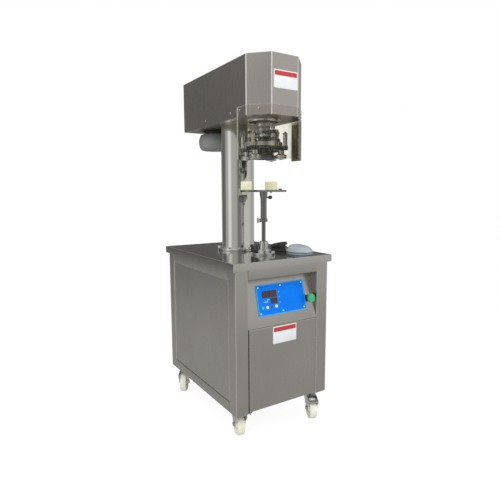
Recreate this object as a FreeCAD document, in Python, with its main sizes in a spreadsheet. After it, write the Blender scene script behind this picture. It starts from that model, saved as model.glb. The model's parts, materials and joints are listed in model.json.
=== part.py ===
# Can seamer on a wheeled stainless steel cabinet: lift, seaming head, hood and casters.
# Millimetres. Origin on the floor under the centre of the cabinet, +X to the right,
# +Y to the back, +Z up. The door and the control panel face -Y.

import FreeCAD, Part
import math
import os
import Sketcher

DOCUMENT = FreeCAD.newDocument("can_seamer")
SHEET = DOCUMENT.addObject("Spreadsheet::Sheet", "Sizes")
SHEET_ROWS = []
PIECES = []


class Size:
    """A number together with the spreadsheet formula that gives it."""

    def __init__(self, number, formula):
        self.number = float(number)
        self.formula = formula

    def __float__(self):
        return self.number

    def __add__(self, other):
        other = as_size(other)
        return Size(self.number + other.number, "(%s + %s)" % (self.formula, other.formula))

    def __sub__(self, other):
        other = as_size(other)
        return Size(self.number - other.number, "(%s - %s)" % (self.formula, other.formula))

    def __mul__(self, other):
        other = as_size(other)
        return Size(self.number * other.number, "(%s * %s)" % (self.formula, other.formula))

    def __truediv__(self, other):
        other = as_size(other)
        return Size(self.number / other.number, "(%s / %s)" % (self.formula, other.formula))

    def __neg__(self):
        return Size(-self.number, "(-1 * %s)" % self.formula)

    def __radd__(self, other):
        return as_size(other) + self

    def __rsub__(self, other):
        return as_size(other) - self

    def __rmul__(self, other):
        return as_size(other) * self

    def __rtruediv__(self, other):
        return as_size(other) / self


def as_size(value):
    """A Size, made from a plain number where needed."""
    if isinstance(value, Size):
        return value
    return Size(value, "(%r)" % float(value))


def driving(name, number):
    """A driving dimension: one cell of the sheet, named by its alias."""
    SHEET_ROWS.append(name)
    row = len(SHEET_ROWS)
    SHEET.set("A%d" % row, name)
    SHEET.set("B%d" % row, str(number))
    SHEET.setAlias("B%d" % row, name)
    return Size(number, "Sizes." + name)


def sine(degrees):
    degrees = as_size(degrees)
    return Size(math.sin(math.radians(degrees.number)), "sin(%s)" % degrees.formula)


def cosine(degrees):
    degrees = as_size(degrees)
    return Size(math.cos(math.radians(degrees.number)), "cos(%s)" % degrees.formula)


def arc_tangent(ratio):
    ratio = as_size(ratio)
    return Size(math.degrees(math.atan(ratio.number)), "(atan(%s) / 1 deg)" % ratio.formula)


def root(value):
    value = as_size(value)
    return Size(math.sqrt(value.number), "sqrt(%s)" % value.formula)


# Cabinet
cabinet_width = 488
cabinet_depth = 694
fork_race_rise = 4
table_height = 780
table_overhang = 14
table_skirt = 32
table_sheet = 3
steel_sheet = 2
post_size = 61
rail_drop = 74
rail_flange = 30
sill_height = 45
floor_thickness = 3
panel_inset = 3
panel_return = 15
panel_gap = 0.5
louvre_length = 90
louvre_height = 6
louvre_pitch = 18
louvre_drop = 226
inlet_radius = 14
inlet_length = 40
inlet_x = -120
inlet_rise = 92

# Front: inclined control fascia above a pivoted door
fascia_height = 212
fascia_recess = 54
fascia_return = 20
fascia_gap = 0.3
panel_margin = 59.5
panel_height = 134
panel_thickness = 3
panel_to_button = 17.5
panel_centre_rise = 113
button_inset = 34
button_rise = 92
bezel_radius = 15
bezel_height = 12
button_stem_radius = 9
button_head_radius = 20
button_head_height = 13
button_travel_gap = 6
button_body_radius = 13
button_body_depth = 40
door_height_gap = 2
door_bottom_gap = 5
door_hinge_gap = 4
door_free_gap = 2
door_return = 18
door_pin_radius = 3
door_pin_inset = 6
door_pin_length = 30
pin_clearance = 0.1
door_tab_length = 18
door_tab_thickness = 4
catch_drop = 174

# Column and hood
column_diameter = 159
column_wall = 3
wiring_hole_radius = 40
column_y = 40
column_flange_diameter = 206
column_flange_thickness = 12
column_bolt_circle = 187
weld_leg = 4
column_reach = 593
hood_height = 240
hood_half_width = 142
hood_front_reach = 158
hood_back_reach = 95
hood_chamfer = 75
hood_sheet = 2
hood_lip = 28
head_plate_rise = 13
head_plate_thickness = 20
head_plate_gap = 0.3
column_collar_radius = 95
column_collar_height = 25
guard_sheet = 3
guard_gap = 0.3
guard_drop = 173
guard_lap = 39
guard_back_reach = 16

# Seaming head, turning about the seaming axis
throat = 227
bearing_clearance = 0.05
running_gap = 0.5
chuck_shaft_radius = 10
spindle_radius = 16
cam_sleeve_radius = 22
disc_drop = 114
disc_thickness = 17
disc_radius = 84
pivot_circle = 72
pivot_radius = 9
pivot_boss_radius = 13
pivot_boss_height = 23.5
pivot_cap_height = 10
spindle_flange_radius = 40
spindle_flange_thickness = 6
spindle_neck_radius = 25
cam_rise = 41
cam_thickness = 12
cam_drum_radius = 30
cam_drum_height = 43
follower_radius = 8
follower_circle = 50
follower_reach = 26
cam_swing = 20
lever_ratio = 0.3
cam_gap = 0.3
upper_arm_thickness = 10
arm_half_width = 11
lower_arm_drop = 18
lower_arm_half_width = 16
roller_reach = 43
roller_radius = 25
roller_pin_radius = 6
roller_drop = 38
roller_hub_radius = 14
roller_groove = 2.6
roller_rim_height = 19
roller_cap_height = 5
chuck_radius = 54
chuck_rise = 3
chuck_lip_height = 6
chuck_flange_height = 7
housing_radius = 34
housing_gap = 2
housing_flange_radius = 52
housing_flange_thickness = 10
housing_spigot_radius = 38
housing_rise = 107
bearing_radius = 29
bearing_height = 16
cam_pulley_rise = 12
pulley_pitch = 32
pulley_height = 24
pulley_flange = 3
cam_pulley_radius = 60
spindle_pulley_radius = 62
motor_cam_pulley_radius = 31
motor_spindle_pulley_radius = 31
belt_thickness = 6
belt_gap = 0.4
bridge_rise = 38
bridge_thickness = 20
bridge_half_span = 100
bridge_leg = 18
bridge_half_depth = 20

# Head motor behind the column
motor_reach = 215
motor_neck_radius = 58
motor_well_depth = 30
motor_body_radius = 70
motor_flange_radius = 80
motor_flange_thickness = 10
motor_rise = 107
motor_neck_drop = 16
motor_shaft_radius = 9
cowl_height = 77
cowl_radius = 92
cowl_bottom_radius = 76
cowl_top_radius = 82
cowl_wall = 3

# Lift, on the seaming axis
lift_flange_radius = 52.5
lift_flange_thickness = 10
lift_hub_radius = 33
lift_neck_radius = 21
lift_base_height = 58
lift_spigot_radius = 28
lift_spigot_depth = 40
lift_bolt_circle = 86
bush_radius = 13
bush_collar = 3
rod_radius = 9
rod_overlap = 37
rod_drop = 190
yoke_half_width = 13
yoke_slot = 12
yoke_length = 44
lift_roller_radius = 12
lift_roller_drop = 28
lift_cam_rest = 47
lift_stroke = 50
lift_cam_thickness = 10
lift_cam_hub_radius = 16
lift_shaft_radius = 10
gearbox_x = 36
gearbox_length = 70
gearbox_size = 96
gearmotor_radius = 34
gearmotor_length = 150
bracket_sheet = 5
bracket_half_width = 60
tube_radius = 14
tube_rise = 90
clamp_ring_radius = 18
clamp_ring_height = 15
collar_height = 41
collar_radius = 19
support_height = 143
plate_thickness = 9
plate_end_radius = 60
plate_end_x = 53
plate_spigot_length = 33
slot_half_width = 4.5
slot_inner_x = 42
slot_outer_x = 92
slot_y = 34
block_inner_x = 46
block_outer_x = 84
block_front_y = 10
block_back_y = 58
block_height = 38
can_arc_radius = 57
knob_screw_radius = 3
knob_drop = 33
knob_radius = 8
knob_reach = 42
knob_length = 12
wing_length = 13
wing_half_height = 12
wing_thickness = 4

# Casters
caster_inset = 52
caster_plate_length = 80
caster_plate_width = 70
caster_plate_thickness = 4
race_radius = 24
race_height = 8
fork_rise = 62
fork_sheet = 4
fork_half_width = 23
kingpin_radius = 6
kingpin_nut_radius = 10
kingpin_nut_height = 4
swivel_gap = 0.3
trail = 33
wheel_radius = 50
wheel_half_width = 16
wheel_hub_radius = 16
wheel_hub_half_width = 18.5
wheel_web_half_width = 8
axle_radius = 5
axle_head_radius = 8
axle_head_height = 5
brake_pivot_x = 36
brake_pivot_z = 47
brake_pivot_radius = 5
brake_arm_length = 22
brake_tilt = 14
yaw_rear_left = 236
yaw_front_left = 75
yaw_front_right = -115
yaw_rear_right = -56

# Electrical plate in the cabinet
electric_inset = 33
electric_front = 20
electric_length = 270
electric_foot = 30
drive_depth = 105
drive_length = 85
drive_height = 150
drive_place = 20
drive_drop = 60
contactor_depth = 62
contactor_length = 90
contactor_height = 80
contactor_place = 140
contactor_drop = 80
strip_depth = 30
strip_length = 210
strip_height = 34
strip_place = 30
strip_drop = 256
electric_drop = 180

# Foot pedal on the tabletop and its cord
pedal_side_inset = 114
pedal_front_inset = 90
pedal_turn = -75
pedal_half_length = 62
pedal_half_width = 54
pedal_base_height = 5
pedal_height = 46
pedal_rim = 13
pedal_wall = 3
pedal_pin_inset = 26
pedal_pin_radius = 3
pedal_lug_inner_y = 16
pedal_lug_thickness = 4
boot_length = 24
boot_height = 7
cord_diameter = 6
coil_inset = 90
coil_y = -74
coil_mid_radius = 30
coil_half_width = 9
coil_height = 27
gland_inset = 53
gland_y = 20

# Bolts and the cord gland
bolt_radius = 5
bolt_hole_gap = 0.5
bolt_head_height = 6.5
bolt_head_radius = 9
bolt_tail = 12
gland_radius = 9
spout_length = 18
spout_rise = 6
spout_radius = 5


def drive_every_size():
    """Each plain number above becomes a driving cell of the sheet, in the order it is written."""
    for name, number in list(globals().items()):
        if isinstance(number, (int, float)) and not name.startswith("_"):
            globals()[name] = driving(name, number)


drive_every_size()


# Helpers that make document objects

def bind(thing, prop, value):
    """Bind one property to a formula."""
    thing.setExpression(prop, as_size(value).formula)


def put(thing, x=0, y=0, z=0, turn=None, about=(0, 0, 1)):
    """Bind a piece's place, and its turn about an axis where one is given."""
    if turn is not None:
        thing.Placement = FreeCAD.Placement(FreeCAD.Vector(), FreeCAD.Rotation(FreeCAD.Vector(*about), 10))
        thing.setExpression(".Placement.Rotation.Angle", as_size(turn).formula)
    for letter, value in (("x", x), ("y", y), ("z", z)):
        thing.setExpression(".Placement.Base." + letter, as_size(value).formula)
    return thing


def new_part(kind, name, **values):
    thing = DOCUMENT.addObject("Part::" + kind, name)
    for prop, value in values.items():
        bind(thing, prop, value)
    return thing


def box(name, low, sides):
    """Block from its low corner and its three sides."""
    thing = new_part("Box", name, Length=sides[0], Width=sides[1], Height=sides[2])
    return put(thing, *low)


def span(name, low, high):
    """Block from its low corner and its high corner."""
    return box(name, low, [as_size(high[i]) - low[i] for i in range(3)])


def rod(name, centre, radius, length, along="z"):
    """Cylinder that starts at centre and runs along one axis."""
    thing = new_part("Cylinder", name, Radius=radius, Height=length)
    turns = {"z": None, "x": (90, (0, 1, 0)), "y": (-90, (1, 0, 0))}
    if turns[along] is None:
        return put(thing, *centre)
    return put(thing, centre[0], centre[1], centre[2], turn=turns[along][0], about=turns[along][1])


def fuse(name, things):
    if len(things) == 1:
        return things[0]
    thing = DOCUMENT.addObject("Part::MultiFuse", name)
    thing.Shapes = things
    return thing


def cut(name, base, tools):
    thing = DOCUMENT.addObject("Part::Cut", name)
    thing.Base = base
    thing.Tool = fuse(name + "_tools", tools)
    return thing


def group(name, things):
    thing = DOCUMENT.addObject("Part::Compound", name)
    thing.Links = things
    return thing


def piece(name, thing):
    """Name a finished sub-part; its label is the name of its file."""
    thing.Label = name
    PIECES.append(thing)
    return thing


def origin_plane(body, role):
    return [feature for feature in body.Origin.OriginFeatures if feature.Role == role][0]


def outline_sketch(body, name, points, plane):
    """Closed outline of straight lines; each corner is bound to its formula."""
    sketch = body.newObject("Sketcher::SketchObject", name + "_outline")
    sketch.AttachmentSupport = [(origin_plane(body, plane), "")]
    sketch.MapMode = "FlatFace"
    points = [(as_size(x), as_size(y)) for x, y in points]
    count = len(points)
    for index in range(count):
        ends = (points[index], points[(index + 1) % count])
        start, end = [FreeCAD.Vector(float(x), float(y), 0) for x, y in ends]
        sketch.addGeometry(Part.LineSegment(start, end), False)
    for index in range(count):
        sketch.addConstraint(Sketcher.Constraint("Coincident", index, 2, (index + 1) % count, 1))
    for index, corner in enumerate(points):
        for kind, value in zip(("DistanceX", "DistanceY"), corner):
            number = sketch.addConstraint(Sketcher.Constraint(kind, -1, 1, index, 1, float(value)))
            sketch.setExpression("Constraints[%d]" % number, value.formula)
    return sketch


def padded(name, points, thickness, plane="XY_Plane", midplane=False):
    """Outline padded to a plate. XY plane: upwards. XZ plane: towards -Y. YZ plane: towards +X."""
    body = DOCUMENT.addObject("PartDesign::Body", name + "_body")
    pad = body.newObject("PartDesign::Pad", name + "_pad")
    pad.Profile = outline_sketch(body, name, points, plane)
    bind(pad, "Length", thickness)
    pad.Midplane = midplane
    return body


def turned(name, profile, axis="V_Axis"):
    """Profile of (radius, height) points in the XZ plane, turned about the vertical axis."""
    body = DOCUMENT.addObject("PartDesign::Body", name + "_body")
    revolution = body.newObject("PartDesign::Revolution", name + "_revolution")
    sketch = outline_sketch(body, name, profile, "XZ_Plane")
    revolution.Profile = sketch
    revolution.ReferenceAxis = (sketch, [axis])
    revolution.Angle = 360
    return body


def around(count, radius, start=0):
    """Places on a circle, as (x, y) formulas."""
    step = 360.0 / count
    return [(radius * cosine(start + step * index), radius * sine(start + step * index)) for index in range(count)]


def hood_outline(growth):
    """Plan of the hood, grown outwards by a distance: five walls, the front corners at 45 degrees."""
    corner_share = root(2) - 1
    half = hood_half_width + growth
    front_half = hood_half_width - hood_chamfer + growth * corner_share
    side_front = -(hood_front - hood_chamfer + growth * corner_share)
    front = -(hood_front + growth)
    back = hood_back + growth
    return [(-half, back), (-half, side_front), (-front_half, front),
            (front_half, front), (half, side_front), (half, back)]


table_width = cabinet_width + 2 * table_overhang
table_depth = cabinet_depth + 2 * table_overhang
rail_bottom = table_height - rail_drop
head_bottom = table_height + column_reach
lift_base_top = table_height + lift_base_height
rod_bottom = table_height - rod_drop
electric_top = table_height - electric_drop
fork_top = wheel_radius + fork_rise
axis_y = column_y - throat
motor_y = column_y + motor_reach
cabinet_bottom = fork_top + fork_race_rise + race_height + caster_plate_thickness
fascia_bottom = rail_bottom - fascia_height
louvre_base = rail_bottom - louvre_drop
hood_top = head_bottom + hood_height
guard_bottom = head_bottom - guard_drop
guard_top = head_bottom + guard_lap
disc_bottom = head_bottom - disc_drop
housing_top = head_bottom + housing_rise
motor_top = head_bottom + motor_rise
motor_neck_bottom = head_bottom - motor_neck_drop
lift_roller_height = rod_bottom - lift_roller_drop
tube_bottom = lift_base_top + tube_rise
hood_front = hood_front_reach - axis_y
hood_back = motor_y + hood_back_reach
guard_back = guard_back_reach - axis_y
gland_x = table_width / 2 - gland_inset
coil_x = table_width / 2 - coil_inset
pedal_x = table_width / 2 - pedal_side_inset
pedal_y = pedal_front_inset - table_depth / 2
inlet_height = cabinet_bottom + inlet_rise
catch_height = fascia_bottom - catch_drop
cam_bottom = disc_bottom + cam_rise
lower_arm_bottom = disc_bottom - lower_arm_drop
cam_pulley_bottom = housing_top + cam_pulley_rise
cowl_bottom = motor_neck_bottom - cowl_height
lift_cam_height = lift_roller_height - lift_cam_rest
rod_top = tube_bottom + rod_overlap
plate_top = tube_bottom + support_height
cam_drum_top = cam_bottom + cam_drum_height
roller_bottom = lower_arm_bottom - roller_drop
spindle_pulley_bottom = cam_pulley_bottom + pulley_pitch
collar_bottom = plate_top - collar_height
knob_height = plate_top - knob_drop
chuck_bottom = roller_bottom + chuck_rise
housing_bottom = cam_drum_top + housing_gap
bridge_bottom = spindle_pulley_bottom + bridge_rise
half_width = cabinet_width / 2
half_depth = cabinet_depth / 2
post_inner_x = half_width - post_size
post_inner_y = half_depth - post_size
button_x = post_inner_x - button_inset
panel_width = post_inner_x - panel_margin + button_x - panel_to_button
panel_centre_x = button_x - panel_to_button - panel_width / 2
electric_x = post_inner_x - electric_inset
frame_top = table_height - table_sheet
sill_top = cabinet_bottom + sill_height
floor_top = cabinet_bottom + floor_thickness
fascia_angle = arc_tangent(fascia_recess / (rail_bottom - fascia_bottom))
fascia_thickness = steel_sheet / cosine(fascia_angle)
head_plate_bottom = head_bottom + head_plate_rise
head_plate_top = head_plate_bottom + head_plate_thickness


# Cabinet frame: four square tubes joined by folded rails

def corner_post(name, side_x, side_y):
    low_x = -half_width if side_x < 0 else post_inner_x
    low_y = -half_depth if side_y < 0 else post_inner_y
    height = frame_top - cabinet_bottom
    outside = box(name + "_out", (low_x, low_y, cabinet_bottom), (post_size, post_size, height))
    inner = post_size - 2 * steel_sheet
    inside = box(name + "_in", (low_x + steel_sheet, low_y + steel_sheet, cabinet_bottom), (inner, inner, height))
    return cut(name, outside, [inside])


def channel(depth_top, depth_bottom, low, flange_low, high):
    """Section of a rail: web on the outside, flanges inwards. Points are (inwards, height)."""
    points = [(0, low), (steel_sheet, low), (steel_sheet, flange_low), (depth_bottom, flange_low),
              (depth_bottom, flange_low + steel_sheet), (steel_sheet, flange_low + steel_sheet),
              (steel_sheet, high - steel_sheet), (depth_top, high - steel_sheet), (depth_top, high), (0, high)]
    if float(flange_low) == float(low):
        points = points[:1] + points[3:]
    return points


def side_rail(name, points, side):
    """Rail along Y between two posts on one side."""
    section = [(side * (half_width - inwards), height) for inwards, height in points]
    rail = padded(name, section, 2 * post_inner_y, "XZ_Plane", midplane=True)
    return rail


def end_rail(name, points, side):
    """Rail along X between two posts, at the front or the back."""
    section = [(side * (half_depth - inwards), height) for inwards, height in points]
    return padded(name, section, 2 * post_inner_x, "YZ_Plane", midplane=True)


def build_frame():
    posts = [corner_post("post_%d" % index, *sides)
             for index, sides in enumerate(((-1, -1), (1, -1), (1, 1), (-1, 1)))]
    top = channel(rail_flange, rail_flange, rail_bottom, rail_bottom, frame_top)
    front_top = channel(rail_flange, fascia_recess + fascia_thickness, rail_bottom, rail_bottom, frame_top)
    sill = channel(rail_flange, rail_flange, cabinet_bottom, floor_top, sill_top)
    rails = [side_rail("top_rail_left", top, -1), side_rail("top_rail_right", top, 1),
             end_rail("top_rail_front", front_top, -1), end_rail("top_rail_rear", top, 1),
             side_rail("sill_left", sill, -1), side_rail("sill_right", sill, 1), end_rail("sill_rear", sill, 1)]
    piece("cabinet_frame", group("cabinet_frame", posts + rails))


def build_floor():
    reach_x = half_width - steel_sheet - panel_gap
    reach_y = half_depth - steel_sheet - panel_gap
    front_y = half_depth - door_return - 2 * door_pin_inset
    wide = span("floor_wide", (-reach_x, -(post_inner_y - panel_gap), cabinet_bottom),
                (reach_x, post_inner_y - panel_gap, floor_top))
    long = span("floor_long", (-(post_inner_x - panel_gap), -front_y, cabinet_bottom),
                (post_inner_x - panel_gap, reach_y, floor_top))
    piece("floor_pan", fuse("floor_pan", [wide, long]))


def column_bolts():
    return [(x, column_y + y) for x, y in around(6, column_bolt_circle / 2, 30)]


def lift_bolts():
    return [(x, axis_y + y) for x, y in around(4, lift_bolt_circle / 2, 45)]


def build_tabletop():
    outside = box("table_out", (-table_width / 2, -table_depth / 2, table_height - table_skirt),
                  (table_width, table_depth, table_skirt))
    inner_width = table_width - 2 * table_sheet
    inner_depth = table_depth - 2 * table_sheet
    inside = box("table_in", (-inner_width / 2, -inner_depth / 2, table_height - table_skirt),
                 (inner_width, inner_depth, table_skirt - table_sheet))
    depth = 2 * table_sheet
    level = table_height - 1.5 * table_sheet
    holes = [rod("table_lift_hole", (0, axis_y, level), lift_spigot_radius + bolt_hole_gap, depth),
             rod("table_wiring_hole", (0, column_y, level), wiring_hole_radius, depth),
             rod("table_gland_hole", (gland_x, gland_y, level), gland_radius - 2, depth)]
    for index, (x, y) in enumerate(column_bolts() + lift_bolts()):
        holes.append(rod("table_bolt_hole_%d" % index, (x, y, level), bolt_radius + bolt_hole_gap, depth))
    piece("tabletop", cut("tabletop", outside, [inside] + holes))


def tray(name, low, high, open_side, wall):
    """Folded tray: a block hollowed from one side. open_side is (axis, sign)."""
    inner_low = [as_size(value) + wall for value in low]
    inner_high = [as_size(value) - wall for value in high]
    axis, sign = open_side
    if sign > 0:
        inner_high[axis] = as_size(high[axis])
    else:
        inner_low[axis] = as_size(low[axis])
    return cut(name, span(name + "_out", low, high), [span(name + "_in", inner_low, inner_high)])


def build_panels():
    reach_y = post_inner_y - panel_gap
    low_z = sill_top + panel_gap
    high_z = rail_bottom - panel_gap
    outer = half_width - panel_inset
    inner = outer - panel_return
    left = tray("panel_left", (-outer, -reach_y, low_z), (-inner, reach_y, high_z), (0, 1), steel_sheet)
    right = tray("panel_right", (inner, -reach_y, low_z), (outer, reach_y, high_z), (0, -1), steel_sheet)
    piece("side_panels", group("side_panels", [left, right]))
    reach_x = post_inner_x - panel_gap
    outer = half_depth - panel_inset
    rear = tray("panel_rear", (-reach_x, outer - panel_return, low_z), (reach_x, outer, high_z), (1, -1), steel_sheet)
    slots = []
    for column in (-1, 1):
        for row in range(6):
            low_x = column * louvre_length * 0.7 - louvre_length / 2
            low = (low_x, outer - 2 * steel_sheet, louvre_base + row * louvre_pitch)
            slots.append(box("louvre_%d_%d" % (column, row), low, (louvre_length, 3 * steel_sheet, louvre_height)))
    louvred = cut("rear_sheet", rear, slots)
    bore = inlet_radius * 0.45
    nut = inlet_radius + 2
    profile = [(0, -10), (nut, -10), (nut, -steel_sheet), (inlet_radius - 3, -steel_sheet), (inlet_radius - 3, 0),
               (nut, 0), (nut, 8), (inlet_radius, 8), (inlet_radius, inlet_length - 8),
               (inlet_radius * 0.6, inlet_length), (bore, inlet_length), (bore, inlet_length - 22),
               (0, inlet_length - 22)]
    inlet = put(turned("power_inlet", profile), inlet_x, outer, inlet_height, turn=-90, about=(1, 0, 0))
    hole = rod("inlet_hole", (inlet_x, outer - 2 * steel_sheet, inlet_height), inlet_radius - 3, 3 * steel_sheet,
               along="y")
    piece("rear_panel", group("rear_panel", [cut("rear_drilled", louvred, [hole]), inlet]))


def on_fascia(rise, outwards=0):
    """Point (y, z) at a distance up the inclined face and a distance out from it."""
    return (-half_depth + rise * sine(fascia_angle) - outwards * cosine(fascia_angle),
            fascia_bottom + rise * cosine(fascia_angle) + outwards * sine(fascia_angle))


def upright_on_fascia(thing, x, rise, outwards):
    """Place a piece modelled about +Z so that its Z axis points out of the inclined face."""
    y, z = on_fascia(rise, outwards)
    return put(thing, x, y, z, turn=90 - fascia_angle, about=(1, 0, 0))


def build_fascia():
    reach = post_inner_x - fascia_gap
    slope = fascia_recess / (rail_bottom - fascia_bottom)
    front = -half_depth
    lip_top = fascia_bottom + steel_sheet
    section = [(front, fascia_bottom), (front + fascia_return, fascia_bottom), (front + fascia_return, lip_top),
               (front + fascia_thickness + steel_sheet * slope, lip_top),
               (front + fascia_recess + fascia_thickness, rail_bottom), (front + fascia_recess, rail_bottom)]
    sheet = padded("fascia_sheet", section, 2 * reach, "YZ_Plane", midplane=True)
    button_hole = rod("fascia_button_hole", (0, 0, 0), button_body_radius + pin_clearance, 8 * steel_sheet)
    upright_on_fascia(button_hole, button_x, button_rise, -6 * steel_sheet)
    pin_hole = rod("fascia_pin_hole", (door_axis_x, door_axis_y, fascia_bottom - steel_sheet), door_pin_radius,
                   4 * steel_sheet)
    piece("control_fascia", cut("control_fascia", sheet, [button_hole, pin_hole]))


def build_control_panel():
    plate = box("panel_plate", (0, 0, 0), (panel_width, panel_height, panel_thickness))
    y, z = on_fascia(panel_centre_rise - panel_height / 2)
    put(plate, panel_centre_x - panel_width / 2, y, z, turn=90 - fascia_angle, about=(1, 0, 0))
    bezel = turned("bezel", [(button_stem_radius + pin_clearance, 0), (bezel_radius, 0),
                             (bezel_radius, bezel_height * 0.6), (bezel_radius - 2.5, bezel_height),
                             (button_stem_radius + pin_clearance, bezel_height)])
    upright_on_fascia(bezel, button_x, button_rise, 0)
    deep = button_body_depth
    well = button_travel_gap + 2
    contacts = turned("button_contacts", [(0, -deep), (button_body_radius, -deep), (button_body_radius, 0),
                                          (button_stem_radius + pin_clearance, 0),
                                          (button_stem_radius + pin_clearance, -well - 4), (0, -well - 4)])
    upright_on_fascia(contacts, button_x, button_rise, 0)
    piece("control_panel", group("control_panel", [plate, bezel, contacts]))


def build_start_button():
    head_low = bezel_height + button_travel_gap
    head_top = head_low + button_head_height
    edge = button_head_radius
    profile = [(0, -4), (button_stem_radius, -4), (button_stem_radius, head_low), (edge - 4, head_low),
               (edge, head_low + 4), (edge, head_top - 4), (edge - 2, head_top - 1.5), (edge * 0.6, head_top),
               (0, head_top + 0.6)]
    button = turned("start_button", profile)
    piece("start_button", upright_on_fascia(button, button_x, button_rise, 0))


door_axis_x = -post_inner_x + door_hinge_gap + door_pin_inset
door_axis_y = -half_depth + door_pin_inset
door_bottom = cabinet_bottom + door_bottom_gap
door_top = fascia_bottom - door_height_gap


def build_door():
    low = (-post_inner_x + door_hinge_gap, -half_depth, door_bottom)
    high = (post_inner_x - door_free_gap, -half_depth + door_return, door_top)
    leaf = tray("door_leaf", low, high, (1, 1), steel_sheet)
    holes = [rod("door_hole_low", (door_axis_x, door_axis_y, door_bottom - steel_sheet),
                 door_pin_radius + pin_clearance, 4 * steel_sheet),
             rod("door_hole_high", (door_axis_x, door_axis_y, door_top - 2 * steel_sheet),
                 door_pin_radius + pin_clearance, 4 * steel_sheet)]
    piece("front_door", cut("front_door", leaf, holes))


def build_door_fittings():
    tab_low = door_bottom - door_tab_thickness - running_gap
    tab = box("door_tab", (-post_inner_x, -half_depth + 1, tab_low),
              (door_tab_length, door_tab_length, door_tab_thickness))
    low_pin = rod("door_pin_low", (door_axis_x, door_axis_y, tab_low - 8), door_pin_radius,
                  door_pin_length)
    high_pin = rod("door_pin_high", (door_axis_x, door_axis_y, door_top - 12), door_pin_radius,
                   fascia_bottom + steel_sheet - door_top + 16)
    catch = box("door_catch", (post_inner_x - 16, -half_depth + door_return + running_gap, catch_height),
                (16, 22, 46))
    piece("door_fittings", group("door_fittings", [fuse("door_low_pivot", [tab, low_pin]), high_pin, catch]))


# Column

def build_column():
    outer = column_diameter / 2
    inner = outer - column_wall
    flange = column_flange_diameter / 2
    flange_top = table_height + column_flange_thickness
    top = head_plate_top + column_collar_height
    tube = turned("column_tube", [(inner, table_height), (flange, table_height), (flange, flange_top - 1.5),
                                  (flange - 1.5, flange_top), (outer + weld_leg, flange_top),
                                  (outer, flange_top + weld_leg), (outer, top), (inner, top)])
    put(tube, 0, column_y, 0)
    holes = [rod("column_bolt_hole_%d" % index, (x, y, table_height - 1), bolt_radius + bolt_hole_gap,
                 column_flange_thickness + 2) for index, (x, y) in enumerate(column_bolts())]
    piece("column", cut("column", tube, holes))


def hex_bolt(name, x, y, seat, length):
    head = new_part("Prism", name + "_head", Circumradius=bolt_head_radius, Height=bolt_head_height)
    head.Polygon = 6
    put(head, x, y, seat)
    shank = rod(name + "_shank", (x, y, seat - length), bolt_radius, length + bolt_head_height / 2)
    return fuse(name, [head, shank])


def build_bolts():
    bolts = []
    for index, (x, y) in enumerate(column_bolts()):
        bolts.append(hex_bolt("column_bolt_%d" % index, x, y, table_height + column_flange_thickness,
                              column_flange_thickness + bolt_tail))
    for index, (x, y) in enumerate(lift_bolts()):
        bolts.append(hex_bolt("lift_bolt_%d" % index, x, y, table_height + lift_flange_thickness,
                              lift_flange_thickness + bolt_tail))
    piece("flange_bolts", group("flange_bolts", bolts))


# Head plate, hood and guard

def prism(name, points, bottom, height):
    return put(padded(name, points, height), 0, 0, bottom)


def build_head_plate():
    plate = prism("head_plate_blank", hood_outline(-(hood_sheet + head_plate_gap)), head_plate_bottom,
                  head_plate_thickness)
    collar = rod("column_collar", (0, column_y, head_plate_bottom), column_collar_radius,
                 head_plate_thickness + column_collar_height)
    deep = head_plate_thickness + column_collar_height + 4
    low = head_plate_bottom - 2
    holes = [rod("head_column_hole", (0, column_y, low), column_diameter / 2, deep),
             rod("head_spindle_hole", (0, axis_y, low), housing_spigot_radius, deep),
             rod("head_motor_hole", (0, motor_y, low), motor_neck_radius + running_gap, deep)]
    piece("head_plate", cut("head_plate", fuse("head_plate_solid", [plate, collar]), holes))


def build_hood():
    height = hood_top - head_bottom
    outside = prism("hood_out", hood_outline(0), head_bottom, height)
    inside = prism("hood_in", hood_outline(-hood_sheet), head_bottom + hood_sheet, height - 2 * hood_sheet)
    mouth = prism("hood_mouth", hood_outline(-hood_lip), head_bottom - hood_sheet, 3 * hood_sheet)
    piece("hood_shell", cut("hood_shell", outside, [inside, mouth]))


def build_guard():
    outer = hood_outline(guard_gap + guard_sheet)
    inner = hood_outline(guard_gap)
    outer[0], outer[5] = (outer[0][0], -guard_back), (outer[5][0], -guard_back)
    inner[0], inner[5] = (inner[0][0], -guard_back), (inner[5][0], -guard_back)
    band = outer + inner[::-1]
    piece("guard_shield", prism("guard_shield", band, guard_bottom, guard_top - guard_bottom))


# Seaming head

def build_housing():
    bore = cam_sleeve_radius + 3
    top_seat = housing_top - bearing_height
    low_seat = housing_bottom + bearing_height
    profile = [(bore, low_seat), (bearing_radius, low_seat), (bearing_radius, housing_bottom),
               (housing_radius, housing_bottom), (housing_radius, head_plate_bottom - housing_flange_thickness),
               (housing_flange_radius, head_plate_bottom - housing_flange_thickness),
               (housing_flange_radius, head_plate_bottom), (housing_spigot_radius, head_plate_bottom),
               (housing_spigot_radius, head_plate_top + 10), (housing_radius, head_plate_top + 10),
               (housing_radius, housing_top), (bearing_radius, housing_top), (bearing_radius, top_seat),
               (bore, top_seat)]
    housing = put(turned("spindle_case", profile), 0, axis_y, 0)
    bearings = []
    for name, low in (("low_bearing", housing_bottom), ("top_bearing", top_seat)):
        inner = cam_sleeve_radius + bearing_clearance
        ring = [(inner, low), (bearing_radius, low), (bearing_radius, low + bearing_height),
                (inner, low + bearing_height)]
        bearings.append(put(turned(name, ring), 0, axis_y, 0))
    piece("spindle_housing", group("spindle_housing", [housing] + bearings))


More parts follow.
